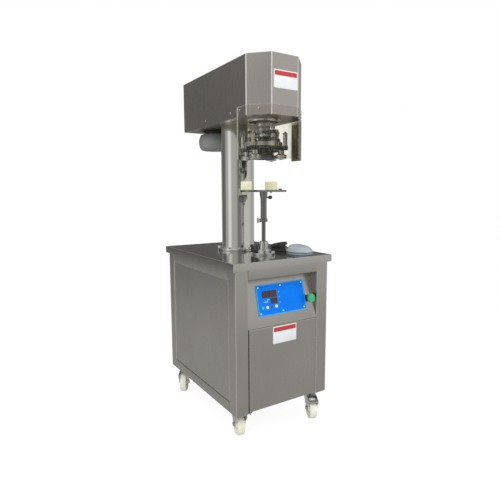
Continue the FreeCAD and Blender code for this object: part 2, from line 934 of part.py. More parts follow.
def build_chuck():
    lip_top = chuck_bottom + chuck_lip_height
    flange_top = lip_top + chuck_flange_height
    profile = [(chuck_shaft_radius, chuck_bottom + 3), (chuck_radius - 14, chuck_bottom + 3),
               (chuck_radius - 12, chuck_bottom), (chuck_radius - 3, chuck_bottom), (chuck_radius - 1.5, lip_top),
               (chuck_radius, lip_top), (chuck_radius, flange_top), (chuck_radius - 10, flange_top + 4),
               (chuck_radius - 10, flange_top + 12), (chuck_shaft_radius + 14, flange_top + 16),
               (chuck_shaft_radius + 14, disc_bottom - 4), (chuck_shaft_radius, disc_bottom - 4)]
    piece("seaming_chuck", put(turned("seaming_chuck", profile), 0, axis_y, 0))


def build_chuck_shaft():
    shaft_top = bridge_bottom + bridge_thickness + 8
    shaft = rod("chuck_stem", (0, axis_y, chuck_bottom + 3), chuck_shaft_radius, shaft_top - chuck_bottom - 3)
    legs = []
    for side, low_x in (("left", -bridge_half_span), ("right", bridge_half_span - bridge_leg)):
        legs.append(box("bridge_leg_" + side, (low_x, axis_y - bridge_half_depth, head_plate_top),
                        (bridge_leg, 2 * bridge_half_depth, bridge_bottom - head_plate_top)))
    beam = box("bridge_beam", (-bridge_half_span, axis_y - bridge_half_depth, bridge_bottom),
               (2 * bridge_half_span, 2 * bridge_half_depth, bridge_thickness))
    hole = rod("bridge_hole", (0, axis_y, bridge_bottom - 2), chuck_shaft_radius, bridge_thickness + 4)
    bridge = cut("chuck_bridge", fuse("bridge_solid", legs + [beam]), [hole])
    piece("chuck_shaft", group("chuck_shaft", [shaft, bridge]))


disc_top = disc_bottom + disc_thickness


def build_turret_disc():
    pivots = around(4, pivot_circle)
    parts = [rod("disc_blank", (0, 0, disc_bottom), disc_radius, disc_thickness)]
    holes = [rod("disc_bore", (0, 0, disc_bottom - 2), spindle_radius, disc_thickness + 4)]
    for index, (x, y) in enumerate(pivots):
        parts.append(rod("pivot_boss_%d" % index, (x, y, disc_bottom), pivot_boss_radius,
                         disc_thickness + pivot_boss_height))
        holes.append(rod("pivot_hole_%d" % index, (x, y, disc_bottom - 2), pivot_radius + bearing_clearance,
                         disc_thickness + pivot_boss_height + 4))
    disc = cut("turret_disc", fuse("disc_solid", parts), holes)
    piece("turret_disc", put(disc, 0, axis_y, 0))


def pulley_profile(bore, low, radius):
    """Flat belt pulley with a flange at each edge."""
    rim = radius + pulley_flange + 2
    high = low + pulley_height
    return [(bore, low), (rim, low), (rim, low + pulley_flange), (radius, low + pulley_flange),
            (radius, high - pulley_flange), (rim, high - pulley_flange), (rim, high), (bore, high)]


def build_turret_spindle():
    bore = chuck_shaft_radius + bearing_clearance
    flange_top = disc_top + spindle_flange_thickness
    neck_top = cam_bottom - 2 * running_gap
    top = spindle_pulley_bottom + pulley_height + 4
    pulley = pulley_profile(spindle_radius, spindle_pulley_bottom, spindle_pulley_radius)[1:-1]
    profile = [(bore, disc_bottom), (spindle_radius, disc_bottom), (spindle_radius, disc_top),
               (spindle_flange_radius, disc_top), (spindle_flange_radius, flange_top),
               (spindle_neck_radius, flange_top), (spindle_neck_radius, neck_top), (spindle_radius, neck_top),
               (spindle_radius, spindle_pulley_bottom)] + pulley + [
               (spindle_radius, spindle_pulley_bottom + pulley_height), (spindle_radius, top), (bore, top)]
    piece("turret_spindle", put(turned("turret_spindle", profile), 0, axis_y, 0))


follower_across = root(follower_circle * follower_circle - follower_reach * follower_reach)


def cam_pitch_point(feed, sign, station):
    """Follower centre seen from the cam, when the cam has been fed by an angle in degrees."""
    swing = math.radians(float(lever_ratio) * feed * sign)
    arm_x = float(follower_across) - float(pivot_circle)
    arm_y = -float(follower_reach)
    x = float(pivot_circle) + arm_x * math.cos(swing) - arm_y * math.sin(swing)
    y = arm_x * math.sin(swing) + arm_y * math.cos(swing)
    turn = math.radians(station - feed)
    return FreeCAD.Vector(x * math.cos(turn) - y * math.sin(turn), x * math.sin(turn) + y * math.cos(turn), 0)


def seam_cam_outline():
    """Closed outline a follower's radius inside the path of the follower centres: two low and two high dwells."""
    swing = float(cam_swing)
    steps = 5
    pitch = []
    for station, sign in ((0, 1), (90, -1), (180, 1), (270, -1)):
        for step in range(steps):
            feed = swing - 2 * swing * step / (steps - 1)
            pitch.append(cam_pitch_point(feed, sign, station))
    pitch_curve = Part.BSplineCurve()
    pitch_curve.interpolate(Points=pitch, PeriodicFlag=True)
    inset = float(follower_radius) + float(cam_gap)
    points = []
    count = 32
    first, last = pitch_curve.FirstParameter, pitch_curve.LastParameter
    for index in range(count):
        at = first + (last - first) * index / count
        along = pitch_curve.tangent(at)[0]
        inwards = FreeCAD.Vector(-along.y, along.x, 0)
        points.append(pitch_curve.value(at) + inwards * inset)
    curve = Part.BSplineCurve()
    curve.interpolate(Points=points, PeriodicFlag=True)
    return Part.Wire(curve.toShape())


def build_seaming_cam():
    bore = spindle_radius + bearing_clearance
    top = cam_pulley_bottom + pulley_height
    cam_top = cam_bottom + cam_thickness
    lobe = DOCUMENT.addObject("Part::Feature", "cam_lobe")
    blank = Part.Face(seam_cam_outline()).extrude(FreeCAD.Vector(0, 0, float(cam_thickness)))
    core = Part.makeCylinder(float(bore), float(cam_thickness))
    lobe.Shape = blank.cut(core)
    put(lobe, 0, 0, cam_bottom)
    pulley = pulley_profile(cam_sleeve_radius, cam_pulley_bottom, cam_pulley_radius)[1:-1]
    profile = [(bore, cam_bottom), (cam_drum_radius, cam_bottom), (cam_drum_radius, cam_drum_top - 2),
               (cam_drum_radius - 2, cam_drum_top), (cam_sleeve_radius, cam_drum_top),
               (cam_sleeve_radius, cam_pulley_bottom)] + pulley + [(bore, top)]
    sleeve = turned("cam_sleeve", profile)
    cam = fuse("seaming_cam", [lobe, sleeve])
    piece("seaming_cam", put(cam, 0, axis_y, 0))


def bar_between(name, start, end, half, bottom, height):
    """Flat bar with round ends from one point to another."""
    reach_x = as_size(end[0]) - start[0]
    reach_y = as_size(end[1]) - start[1]
    length = root(reach_x * reach_x + reach_y * reach_y)
    turn = Size(math.degrees(math.atan2(float(reach_y), float(reach_x))),
                "(atan2(%s; %s) / 1 deg)" % (reach_y.formula, reach_x.formula))
    bar = new_part("Box", name + "_bar", Length=length, Width=2 * half, Height=height)
    put(bar, start[0] + half * sine(turn), start[1] - half * cosine(turn), bottom, turn=turn)
    ends = [rod(name + "_end_%d" % index, (x, y, bottom), half, height)
            for index, (x, y) in enumerate((start, end))]
    return [bar] + ends


def build_lever(number, station):
    """Swing lever: a vertical shaft with a cam follower arm above the disc and a roller arm below it."""
    name = "seaming_lever_%d" % number
    pivot = (pivot_circle, as_size(0))
    follower = (follower_across, -follower_reach)
    roller = (pivot_circle, roller_reach)
    arm_bottom = cam_bottom + cam_thickness + running_gap
    arm_top = arm_bottom + upper_arm_thickness
    lower_top = disc_bottom - running_gap
    parts = [rod(name + "_shaft", (pivot[0], 0, lower_arm_bottom), pivot_radius,
                 arm_top + pivot_cap_height - lower_arm_bottom)]
    parts += bar_between(name + "_upper", pivot, follower, arm_half_width, arm_bottom, upper_arm_thickness)
    parts += bar_between(name + "_lower", pivot, roller, lower_arm_half_width, lower_arm_bottom,
                         lower_top - lower_arm_bottom)
    parts.append(rod(name + "_cap", (pivot[0], 0, arm_top), pivot_boss_radius, pivot_cap_height / 2))
    parts.append(rod(name + "_stud", (follower[0], follower[1], cam_bottom), follower_radius / 2,
                     cam_thickness + running_gap))
    parts.append(rod(name + "_pin", (roller[0], roller[1], roller_bottom - 2), roller_pin_radius,
                     lower_arm_bottom - roller_bottom + 2))
    body = fuse(name + "_body", parts)
    ring_outer = rod(name + "_ring_out", (follower[0], follower[1], cam_bottom), follower_radius, cam_thickness)
    ring_inner = rod(name + "_ring_in", (follower[0], follower[1], cam_bottom - 1), follower_radius / 2,
                     cam_thickness + 2)
    ring = cut(name + "_ring", ring_outer, [ring_inner])
    lever = group(name, [body, ring])
    piece(name, put(lever, 0, axis_y, 0, turn=station))


def build_roller(number, station):
    """Seaming roller. The first operation has a deep narrow groove, the second a shallow wide one."""
    name = "seaming_roller_%d" % number
    first_operation = number % 2 == 1
    groove = roller_groove if first_operation else roller_groove * 0.45
    widen = 0 if first_operation else 1.5
    bore = roller_pin_radius + bearing_clearance
    low = roller_bottom
    rim_top = low + roller_rim_height
    top = lower_arm_bottom - running_gap
    profile = [(bore, low), (roller_hub_radius, low), (roller_radius - 1, low + 2), (roller_radius, low + 3.5),
               (roller_radius - groove, low + 5), (roller_radius - groove, low + 7.5 + widen),
               (roller_radius, low + 10 + widen), (roller_radius, rim_top - 2), (roller_radius - 3, rim_top),
               (roller_hub_radius, rim_top + 3), (roller_hub_radius, top), (bore, top)]
    roller = turned(name, profile)
    x = pivot_circle * cosine(station) - roller_reach * sine(station)
    y = pivot_circle * sine(station) + roller_reach * cosine(station)
    piece(name, put(roller, x, axis_y + y, 0))


# Head motor

def build_motor():
    shaft_bore = motor_shaft_radius + bearing_clearance
    flange_top = head_plate_top + motor_flange_thickness
    well = motor_top - motor_well_depth
    profile = [(0, motor_neck_bottom), (motor_neck_radius, motor_neck_bottom), (motor_neck_radius, head_plate_top),
               (motor_flange_radius, head_plate_top), (motor_flange_radius, flange_top),
               (motor_body_radius, flange_top), (motor_body_radius, motor_top - 4), (motor_body_radius - 4, motor_top),
               (shaft_bore, motor_top), (shaft_bore, well), (0, well)]
    piece("motor_body", put(turned("motor_body", profile), 0, motor_y, 0))


def build_cowl():
    """Fan cowl under the motor: a rounded bowl with a ring of slots in its floor."""
    wall = cowl_wall
    shoulder = cowl_bottom + 12
    widest = cowl_bottom + 0.55 * (motor_neck_bottom - cowl_bottom)
    top = motor_neck_bottom
    profile = [(0, cowl_bottom), (cowl_bottom_radius, cowl_bottom), (cowl_radius - 5, shoulder),
               (cowl_radius, widest - 8), (cowl_radius, widest + 8), (cowl_top_radius, top), (0, top),
               (0, top - wall), (cowl_top_radius - wall, top - wall), (cowl_radius - wall, widest + 8),
               (cowl_radius - wall, widest - 8), (cowl_radius - 5 - wall, shoulder + 1),
               (cowl_bottom_radius - 2, cowl_bottom + wall), (0, cowl_bottom + wall)]
    bowl = put(turned("cowl_bowl", profile), 0, motor_y, 0)
    slots = []
    for index in range(8):
        slot = box("cowl_slot_%d" % index, (0, 0, 0), (cowl_bottom_radius * 0.5, 9, 3 * wall))
        angle = 45.0 * index
        out = cowl_bottom_radius * 0.35
        put(slot, out * cosine(angle) + 4.5 * sine(angle), motor_y + out * sine(angle) - 4.5 * cosine(angle),
            cowl_bottom - wall, turn=angle)
        slots.append(slot)
    piece("motor_fan_cowl", cut("motor_fan_cowl", bowl, slots))


def build_motor_pulley():
    low = motor_top - 24
    top = spindle_pulley_bottom + pulley_height + 4
    spindle_rim = motor_spindle_pulley_radius
    cam_rim = motor_cam_pulley_radius
    first = pulley_profile(0, cam_pulley_bottom, cam_rim)[1:-1]
    second = pulley_profile(0, spindle_pulley_bottom, spindle_rim)[1:-1]
    profile = [(0, low), (motor_shaft_radius, low), (motor_shaft_radius, cam_pulley_bottom)] + first + [
        (motor_shaft_radius + 6, cam_pulley_bottom + pulley_height),
        (motor_shaft_radius + 6, spindle_pulley_bottom)] + second + [
        (motor_shaft_radius, spindle_pulley_bottom + pulley_height), (motor_shaft_radius, top), (0, top)]
    piece("motor_pulley", put(turned("motor_pulley", profile), 0, motor_y, 0))


def loop_wire(near, far, distance):
    """Tight loop round two circles, the first at the origin and the second along +Y."""
    lean = math.asin((near - far) / distance)
    side = FreeCAD.Vector(math.cos(lean), math.sin(lean), 0)
    centre = FreeCAD.Vector(0, distance, 0)
    mirrored = FreeCAD.Vector(-side.x, side.y, 0)
    near_arc = Part.Arc(mirrored * near, FreeCAD.Vector(0, -near, 0), side * near)
    far_arc = Part.Arc(centre + side * far, centre + FreeCAD.Vector(0, far, 0), centre + mirrored * far)
    lines = [Part.LineSegment(side * near, centre + side * far),
             Part.LineSegment(centre + mirrored * far, mirrored * near)]
    edges = [near_arc.toShape(), lines[0].toShape(), far_arc.toShape(), lines[1].toShape()]
    return Part.Wire(edges)


def build_belts():
    belts = []
    distance = float(motor_y) - float(axis_y)
    rows = (("cam_belt", cam_pulley_radius, motor_cam_pulley_radius, cam_pulley_bottom),
            ("spindle_belt", spindle_pulley_radius, motor_spindle_pulley_radius, spindle_pulley_bottom))
    for name, near, far, low in rows:
        gap = float(belt_gap)
        thick = float(belt_thickness)
        width = float(pulley_height - 2 * pulley_flange) - 2 * gap
        loops = [loop_wire(float(near) + growth, float(far) + growth, distance) for growth in (gap, gap + thick)]
        belt = DOCUMENT.addObject("Part::Feature", name)
        belt.Shape = Part.makeFace([loops[1], loops[0]], "Part::FaceMakerBullseye").extrude(FreeCAD.Vector(0, 0, width))
        belts.append(put(belt, 0, axis_y, low + pulley_flange + belt_gap))
    piece("drive_belts", group("drive_belts", belts))


# Lift

def build_lift_base():
    bore = bush_radius
    flange_top = table_height + lift_flange_thickness
    profile = [(bore, table_height - lift_spigot_depth), (lift_spigot_radius, table_height - lift_spigot_depth),
               (lift_spigot_radius, table_height), (lift_flange_radius, table_height),
               (lift_flange_radius, flange_top - 1), (lift_flange_radius - 1, flange_top),
               (lift_hub_radius, flange_top), (lift_hub_radius, flange_top + 10),
               (lift_hub_radius - 4, flange_top + 14), (lift_neck_radius + 2, flange_top + 14),
               (lift_neck_radius, flange_top + 16), (lift_neck_radius, lift_base_top - 2),
               (lift_neck_radius - 2, lift_base_top), (bore, lift_base_top)]
    holes = [rod("lift_bolt_hole_%d" % index, (x, y, table_height - 1), bolt_radius + bolt_hole_gap,
                 lift_flange_thickness + 2) for index, (x, y) in enumerate(lift_bolts())]
    base = cut("lift_case", put(turned("lift_case_turned", profile), 0, axis_y, 0), holes)
    inner = rod_radius + bearing_clearance
    top = lift_base_top + bush_collar
    bush_profile = [(inner, table_height - lift_spigot_depth), (bore, table_height - lift_spigot_depth),
                    (bore, lift_base_top), (bore + 3, lift_base_top), (bore + 3, top), (inner, top)]
    bush = put(turned("lift_bush", bush_profile), 0, axis_y, 0)
    piece("lift_base", group("lift_base", [base, bush]))


def build_lift_rod():
    """Lift rod with a forked foot that carries the cam follower roller."""
    stem = rod("rod_stem", (0, 0, rod_bottom), rod_radius, rod_top - rod_bottom)
    foot = rod("rod_foot", (0, 0, rod_bottom - yoke_length), yoke_half_width, yoke_length + 8)
    slot_low = rod_bottom - yoke_length - 1
    slot = box("rod_slot", (-yoke_slot / 2, -2 * yoke_half_width, slot_low),
               (yoke_slot, 4 * yoke_half_width, lift_roller_height + lift_roller_radius + 2 - slot_low))
    pin_hole = rod("rod_pin_hole", (-2 * yoke_half_width, 0, lift_roller_height), axle_radius - 1,
                   4 * yoke_half_width, along="x")
    yoke = cut("rod_yoke", fuse("rod_solid", [stem, foot]), [slot, pin_hole])
    pin = rod("rod_pin", (-yoke_half_width + 1, 0, lift_roller_height), axle_radius - 1, 2 * yoke_half_width - 2,
              along="x")
    width = yoke_slot - 2 * running_gap
    wheel = rod("lift_roller_out", (-width / 2, 0, lift_roller_height), lift_roller_radius, width, along="x")
    wheel_hole = rod("lift_roller_in", (-width, 0, lift_roller_height), axle_radius - 1, 2 * width, along="x")
    roller = cut("lift_roller", wheel, [wheel_hole])
    rod_group = group("lift_rod", [yoke, pin, roller])
    piece("lift_rod", put(rod_group, 0, axis_y, 0))


def heart_outline():
    """Heart cam in the YZ plane: the follower's height grows evenly with the turn, the same both ways."""
    rest = float(lift_roller_height) - float(lift_cam_height)
    stroke = float(lift_stroke)
    inset = float(lift_roller_radius) + float(cam_gap)
    heart_tip_relief = 1.7
    steps = 12
    halves = []
    for sign in (1, -1):
        points = []
        for step in range(steps + 1):
            turn = math.pi * step / steps
            radius = rest + stroke * turn / math.pi
            slope = stroke / math.pi
            outwards = FreeCAD.Vector(0, math.sin(turn) * sign, math.cos(turn))
            sideways = FreeCAD.Vector(0, math.cos(turn) * sign, -math.sin(turn))
            normal = (outwards * radius - sideways * slope).normalize()
            points.append(outwards * radius - normal * inset)
        halves.append(points)
    right = halves[0][:-1]
    left = halves[1][:-1]
    notch = FreeCAD.Vector(0, 0, rest - inset)
    tip = FreeCAD.Vector(0, 0, -(rest + stroke - inset) + heart_tip_relief)
    edges = [Part.Arc(left[0], notch, right[0]).toShape()]
    for flank in (right, left):
        curve = Part.BSplineCurve()
        curve.interpolate(Points=flank)
        edges.append(curve.toShape())
    edges.append(Part.Arc(right[-1], tip, left[-1]).toShape())
    return Part.Wire(Part.__sortEdges__(edges))


def build_lift_cam():
    plate = DOCUMENT.addObject("Part::Feature", "heart_plate")
    thick = float(lift_cam_thickness)
    plate.Shape = Part.Face(heart_outline()).extrude(FreeCAD.Vector(thick, 0, 0))
    put(plate, -lift_cam_thickness / 2, 0, 0)
    hub = rod("lift_cam_hub", (-lift_cam_thickness / 2, 0, 0), lift_cam_hub_radius,
              lift_cam_thickness + 12, along="x")
    shaft = rod("lift_cam_shaft", (-lift_cam_thickness, 0, 0), lift_shaft_radius,
                lift_cam_thickness + gearbox_x + 20, along="x")
    cam = fuse("lift_cam", [plate, hub, shaft])
    piece("lift_cam", put(cam, 0, axis_y, lift_cam_height))


def build_gearmotor():
    low_y = axis_y - gearbox_size / 2
    low_z = lift_cam_height - gearbox_size / 2
    block = box("gearbox_block", (gearbox_x, low_y, low_z), (gearbox_length, gearbox_size, gearbox_size))
    bore = rod("gearbox_bore", (gearbox_x - 1, axis_y, lift_cam_height), lift_shaft_radius + bearing_clearance, 23,
               along="x")
    gearbox = cut("gearbox", block, [bore])
    motor = rod("lift_motor", (gearbox_x + gearbox_length / 2, axis_y + gearbox_size / 2, lift_cam_height),
                gearmotor_radius, gearmotor_length, along="y")
    plate_x = gearbox_x + gearbox_length
    flange = bracket_half_width
    section = [(plate_x, low_z), (plate_x + bracket_sheet, low_z), (plate_x + bracket_sheet, frame_top),
               (plate_x - flange, frame_top), (plate_x - flange, frame_top - bracket_sheet),
               (plate_x, frame_top - bracket_sheet)]
    bracket = padded("gearbox_bracket", section, 2 * bracket_half_width, "XZ_Plane", midplane=True)
    put(bracket, 0, axis_y, 0)
    piece("lift_gearmotor", group("lift_gearmotor", [gearbox, motor, bracket]))


def build_support_tube():
    """Telescopic tube with a clamp ring at its foot and a conical collar under the can plate."""
    inner = rod_radius + bearing_clearance
    ring_top = tube_bottom + clamp_ring_height
    top = plate_top - plate_thickness
    profile = [(inner, tube_bottom), (clamp_ring_radius - 1, tube_bottom), (clamp_ring_radius, tube_bottom + 1),
               (clamp_ring_radius, ring_top - 1), (clamp_ring_radius - 1, ring_top), (tube_radius, ring_top),
               (tube_radius, collar_bottom), (collar_radius - 1, top - 8), (collar_radius - 1, top), (inner, top)]
    tube = turned("tube_turned", profile)
    holes = [rod("knob_hole", (0, 0, knob_height), knob_screw_radius + pin_clearance, 2 * clamp_ring_radius,
                 along="x"),
             rod("wing_hole", (-2 * clamp_ring_radius, 0, wing_height), knob_screw_radius + pin_clearance,
                 2 * clamp_ring_radius, along="x")]
    piece("support_tube", put(cut("support_tube", tube, holes), 0, axis_y, 0))


wing_height = tube_bottom + clamp_ring_height / 2


def slot_tool(name, side, y):
    low_x = slot_inner_x if side > 0 else -slot_outer_x
    length = slot_outer_x - slot_inner_x
    low_z = plate_top - plate_thickness - 1
    height = plate_thickness + 2
    middle = box(name, (low_x, y - slot_half_width, low_z), (length, 2 * slot_half_width, height))
    ends = [rod(name + "_end_%d" % index, (x, y, low_z), slot_half_width, height)
            for index, x in enumerate((low_x, low_x + length))]
    return [middle] + ends


def build_can_plate():
    low = plate_top - plate_thickness
    parts = [box("plate_middle", (-plate_end_x, -plate_end_radius, low),
                 (2 * plate_end_x, 2 * plate_end_radius, plate_thickness))]
    for side in (-1, 1):
        parts.append(rod("plate_end_%d" % side, (side * plate_end_x, 0, low), plate_end_radius, plate_thickness))
    parts.append(rod("plate_spigot", (0, 0, low - plate_spigot_length), rod_radius, plate_spigot_length + 2))
    parts.append(rod("plate_stop", (plate_end_x + plate_end_radius - 21, 0, plate_top), bolt_head_radius - 1,
                     bolt_head_height))
    slots = []
    for side in (-1, 1):
        for row, y in (("front", -slot_y), ("back", slot_y)):
            slots += slot_tool("slot_%s_%d" % (row, side), side, y)
    plate = cut("can_plate", fuse("plate_solid", parts), slots)
    piece("can_plate", put(plate, 0, axis_y, 0))


def build_blocks():
    """Two nylon blocks, hollowed to the can's radius, each on a stud through its slot."""
    blocks = []
    for side in (-1, 1):
        name = "block_%s" % ("right" if side > 0 else "left")
        low_x = block_inner_x if side > 0 else -block_outer_x
        solid = box(name + "_blank", (low_x, block_front_y, plate_top),
                    (block_outer_x - block_inner_x, block_back_y - block_front_y, block_height))
        stud = rod(name + "_stud", ((block_inner_x + block_outer_x) / 2 * side, slot_y,
                                    plate_top - plate_thickness - 6), slot_half_width - 0.5, plate_thickness + 8)
        can = rod(name + "_can", (0, 0, plate_top - 1), can_arc_radius, block_height + 2)
        blocks.append(cut(name, fuse(name + "_solid", [solid, stud]), [can]))
    piece("locating_blocks", put(group("locating_blocks", blocks), 0, axis_y, 0))


def build_clamps():
    tip = rod_radius + 3
    screw = rod("knob_screw", (tip, 0, 0), knob_screw_radius, knob_reach - tip - knob_length + 2, along="x")
    grip = rod("knob_grip", (knob_reach - knob_length, 0, 0), knob_radius, knob_length, along="x")
    knob = fuse("plate_clamp_knob", [screw, grip])
    piece("plate_clamp_knob", put(knob, 0, axis_y, knob_height))
    reach = clamp_ring_radius + 4
    stem = rod("wing_screw", (-reach - wing_length, 0, 0), knob_screw_radius, reach + wing_length - tip, along="x")
    hub = rod("wing_hub", (-reach - 8, 0, 0), knob_radius * 0.75, 8, along="x")
    leaves = [box("wing_up", (-reach - wing_length, -wing_thickness / 2, 0),
                  (wing_length - 2, wing_thickness, wing_half_height)),
              box("wing_down", (-reach - wing_length, -wing_thickness / 2, -wing_half_height),
                  (wing_length - 2, wing_thickness, wing_half_height))]
    wing = fuse("height_clamp_screw", [stem, hub] + leaves)
    piece("height_clamp_screw", put(wing, 0, axis_y, wing_height))


# Casters

CASTERS = (("front_left", -1, -1, yaw_front_left), ("front_right", 1, -1, yaw_front_right),
           ("rear_left", -1, 1, yaw_rear_left), ("rear_right", 1, 1, yaw_rear_right))


def kingpin_place(side_x, side_y):
    return (side_x * (half_width - caster_inset), side_y * (half_depth - caster_inset))


caster_plate_bottom = cabinet_bottom - caster_plate_thickness
race_bottom = caster_plate_bottom - race_height


def build_caster_mounts():
    mounts = []
    for name, side_x, side_y, yaw in CASTERS:
        x, y = kingpin_place(side_x, side_y)
        plate = box(name + "_plate", (x - caster_plate_length / 2, y - caster_plate_width / 2, caster_plate_bottom),
                    (caster_plate_length, caster_plate_width, caster_plate_thickness))
        nut_low = fork_top - fork_sheet - swivel_gap - kingpin_nut_height
        nut_top = nut_low + kingpin_nut_height
        profile = [(0, nut_low), (kingpin_nut_radius, nut_low), (kingpin_nut_radius, nut_top),
                   (kingpin_radius, nut_top), (kingpin_radius, race_bottom), (race_radius, race_bottom),
                   (race_radius, caster_plate_bottom), (0, caster_plate_bottom)]
        pin = put(turned(name + "_kingpin", profile), x, y, 0)
        mounts.append(fuse(name + "_mount", [plate, pin]))
    piece("caster_mounts", group("caster_mounts", mounts))


def build_fork(name, side_x, side_y, yaw):
    """Swivel fork: a folded plate with two cheeks, a race on top and the axle bolt."""
    ear_x = trail + brake_pivot_x
    ear_z = wheel_radius + brake_pivot_z
    side = [(-race_radius + 2, fork_top), (trail, fork_top), (ear_x - 8, ear_z + 8), (ear_x + 7, ear_z + 6),
            (ear_x + 8, ear_z - 7), (trail + 14, wheel_radius + 8), (trail + 12, wheel_radius - 10),
            (trail - 12, wheel_radius - 10), (trail - 16, wheel_radius + 8), (-race_radius + 2, fork_top - 14)]
    cheeks = padded(name + "_cheeks", side, 2 * fork_half_width, "XZ_Plane", midplane=True)
    inner = fork_half_width - fork_sheet
    room = span(name + "_room", (-2 * race_radius, -inner, 0), (3 * trail + brake_pivot_x, inner, fork_top - fork_sheet))
    race = rod(name + "_race", (0, 0, fork_top - fork_sheet), race_radius - 1,
               race_bottom - swivel_gap - fork_top + fork_sheet)
    pin_room = rod(name + "_pin_room", (0, 0, fork_top - 3 * fork_sheet), kingpin_radius + bearing_clearance,
                   race_height * 4)
    reach = fork_half_width + axle_head_height
    axle_hole = rod(name + "_axle_hole", (trail, -2 * reach, wheel_radius), axle_radius, 4 * reach, along="y")
    folded = cut(name + "_folded", cheeks, [room, axle_hole])
    yoke = cut(name + "_yoke", fuse(name + "_yoke_solid", [folded, race]), [pin_room])
    shank = rod(name + "_axle_shank", (trail, -reach, wheel_radius), axle_radius, 2 * reach, along="y")
    heads = [rod(name + "_axle_head", (trail, -reach, wheel_radius), axle_head_radius, axle_head_height, along="y"),
             rod(name + "_axle_nut", (trail, fork_half_width, wheel_radius), axle_head_radius, axle_head_height,
                 along="y")]
    axle = fuse(name + "_axle", [shank] + heads)
    x, y = kingpin_place(side_x, side_y)
    piece("caster_fork_" + name, put(group("caster_fork_" + name, [yoke, axle]), x, y, 0, turn=yaw))


def build_wheel(name, side_x, side_y, yaw):
    """Nylon wheel, turned about its own axle: a crowned tread, a thin web and a hub."""
    bore = axle_radius + bearing_clearance
    half = wheel_half_width
    web = wheel_web_half_width
    right = [(bore, wheel_hub_half_width), (wheel_hub_radius - 2, wheel_hub_half_width),
             (wheel_hub_radius, wheel_hub_half_width - 3), (wheel_hub_radius, web + 1),
             (wheel_radius - 16, web), (wheel_radius - 12, half - 2), (wheel_radius - 10, half),
             (wheel_radius - 3, half), (wheel_radius - 0.6, half - 4), (wheel_radius, half - 8)]
    left = [(radius, -height) for radius, height in right[::-1]]
    wheel = turned("wheel_" + name + "_turned", [(radius, -height) for radius, height in right]
                   + [(radius, -height) for radius, height in left])
    upright = put(group("wheel_" + name + "_upright", [wheel]), trail, 0, wheel_radius, turn=90, about=(1, 0, 0))
    x, y = kingpin_place(side_x, side_y)
    piece("caster_wheel_" + name, put(group("caster_wheel_" + name, [upright]), x, y, 0, turn=yaw))


def build_brake(name, side_x, side_y, yaw):
    """Brake pedal on the fork's ears, with a shoe that comes to the tread when it is pressed."""
    inner = fork_half_width - fork_sheet - running_gap
    barrel = rod(name + "_barrel", (0, -inner, 0), brake_pivot_radius, 2 * inner, along="y")
    arm = new_part("Box", name + "_arm", Length=brake_arm_length, Width=2 * inner, Height=3)
    put(arm, 0, -inner, 1, turn=-brake_tilt, about=(0, 1, 0))
    toe = new_part("Box", name + "_toe", Length=4, Width=2 * inner, Height=9)
    put(toe, (brake_arm_length - 4) * cosine(brake_tilt), -inner, (brake_arm_length - 4) * sine(brake_tilt) - 5,
        turn=-brake_tilt, about=(0, 1, 0))
    shoe = new_part("Box", name + "_shoe", Length=6, Width=2 * inner, Height=8.6)
    put(shoe, 3, -inner, 0, turn=165, about=(0, 1, 0))
    pedal = put(fuse(name + "_pedal", [barrel, arm, toe, shoe]), trail + brake_pivot_x, 0,
                wheel_radius + brake_pivot_z)
    x, y = kingpin_place(side_x, side_y)
    piece("caster_brake_" + name, put(group("caster_brake_" + name, [pedal]), x, y, 0, turn=yaw))


# Electrical plate

def build_electrics():
    plate_thick = steel_sheet
    plate = box("electric_sheet", (electric_x, electric_front, floor_top),
                (plate_thick, electric_length, electric_top - floor_top))
    foot = box("electric_foot", (electric_x - electric_foot, electric_front, floor_top),
               (electric_foot, electric_length, plate_thick))
    drive = box("electric_drive", (electric_x - drive_depth, electric_front + drive_place,
                                   electric_top - drive_drop - drive_height), (drive_depth, drive_length, drive_height))
    contactor = box("electric_contactor", (electric_x - contactor_depth, electric_front + contactor_place,
                                           electric_top - contactor_drop - contactor_height),
                    (contactor_depth, contactor_length, contactor_height))
    strip = box("electric_strip", (electric_x - strip_depth, electric_front + strip_place,
                                   electric_top - strip_drop - strip_height), (strip_depth, strip_length, strip_height))
    piece("electrical_plate", group("electrical_plate", [fuse("electric_back", [plate, foot]), drive, contactor,
                                                         strip]))


# Foot pedal and its cord

def place_pedal(thing):
    return put(thing, pedal_x, pedal_y, table_height, turn=pedal_turn)


def dome(name, half_length, half_width, height, low):
    """Upper part of an ellipsoid that stands on the plane z = 0, cut off below a level."""
    whole = new_part("Ellipsoid", name + "_whole", Radius1=height, Radius2=half_length, Radius3=half_width)
    whole.Angle1 = -90
    whole.Angle2 = 90
    keep = span(name + "_keep", (-2 * half_length, -2 * half_width, low), (2 * half_length, 2 * half_width, 2 * height))
    common = DOCUMENT.addObject("Part::MultiCommon", name)
    common.Shapes = [whole, keep]
    return common


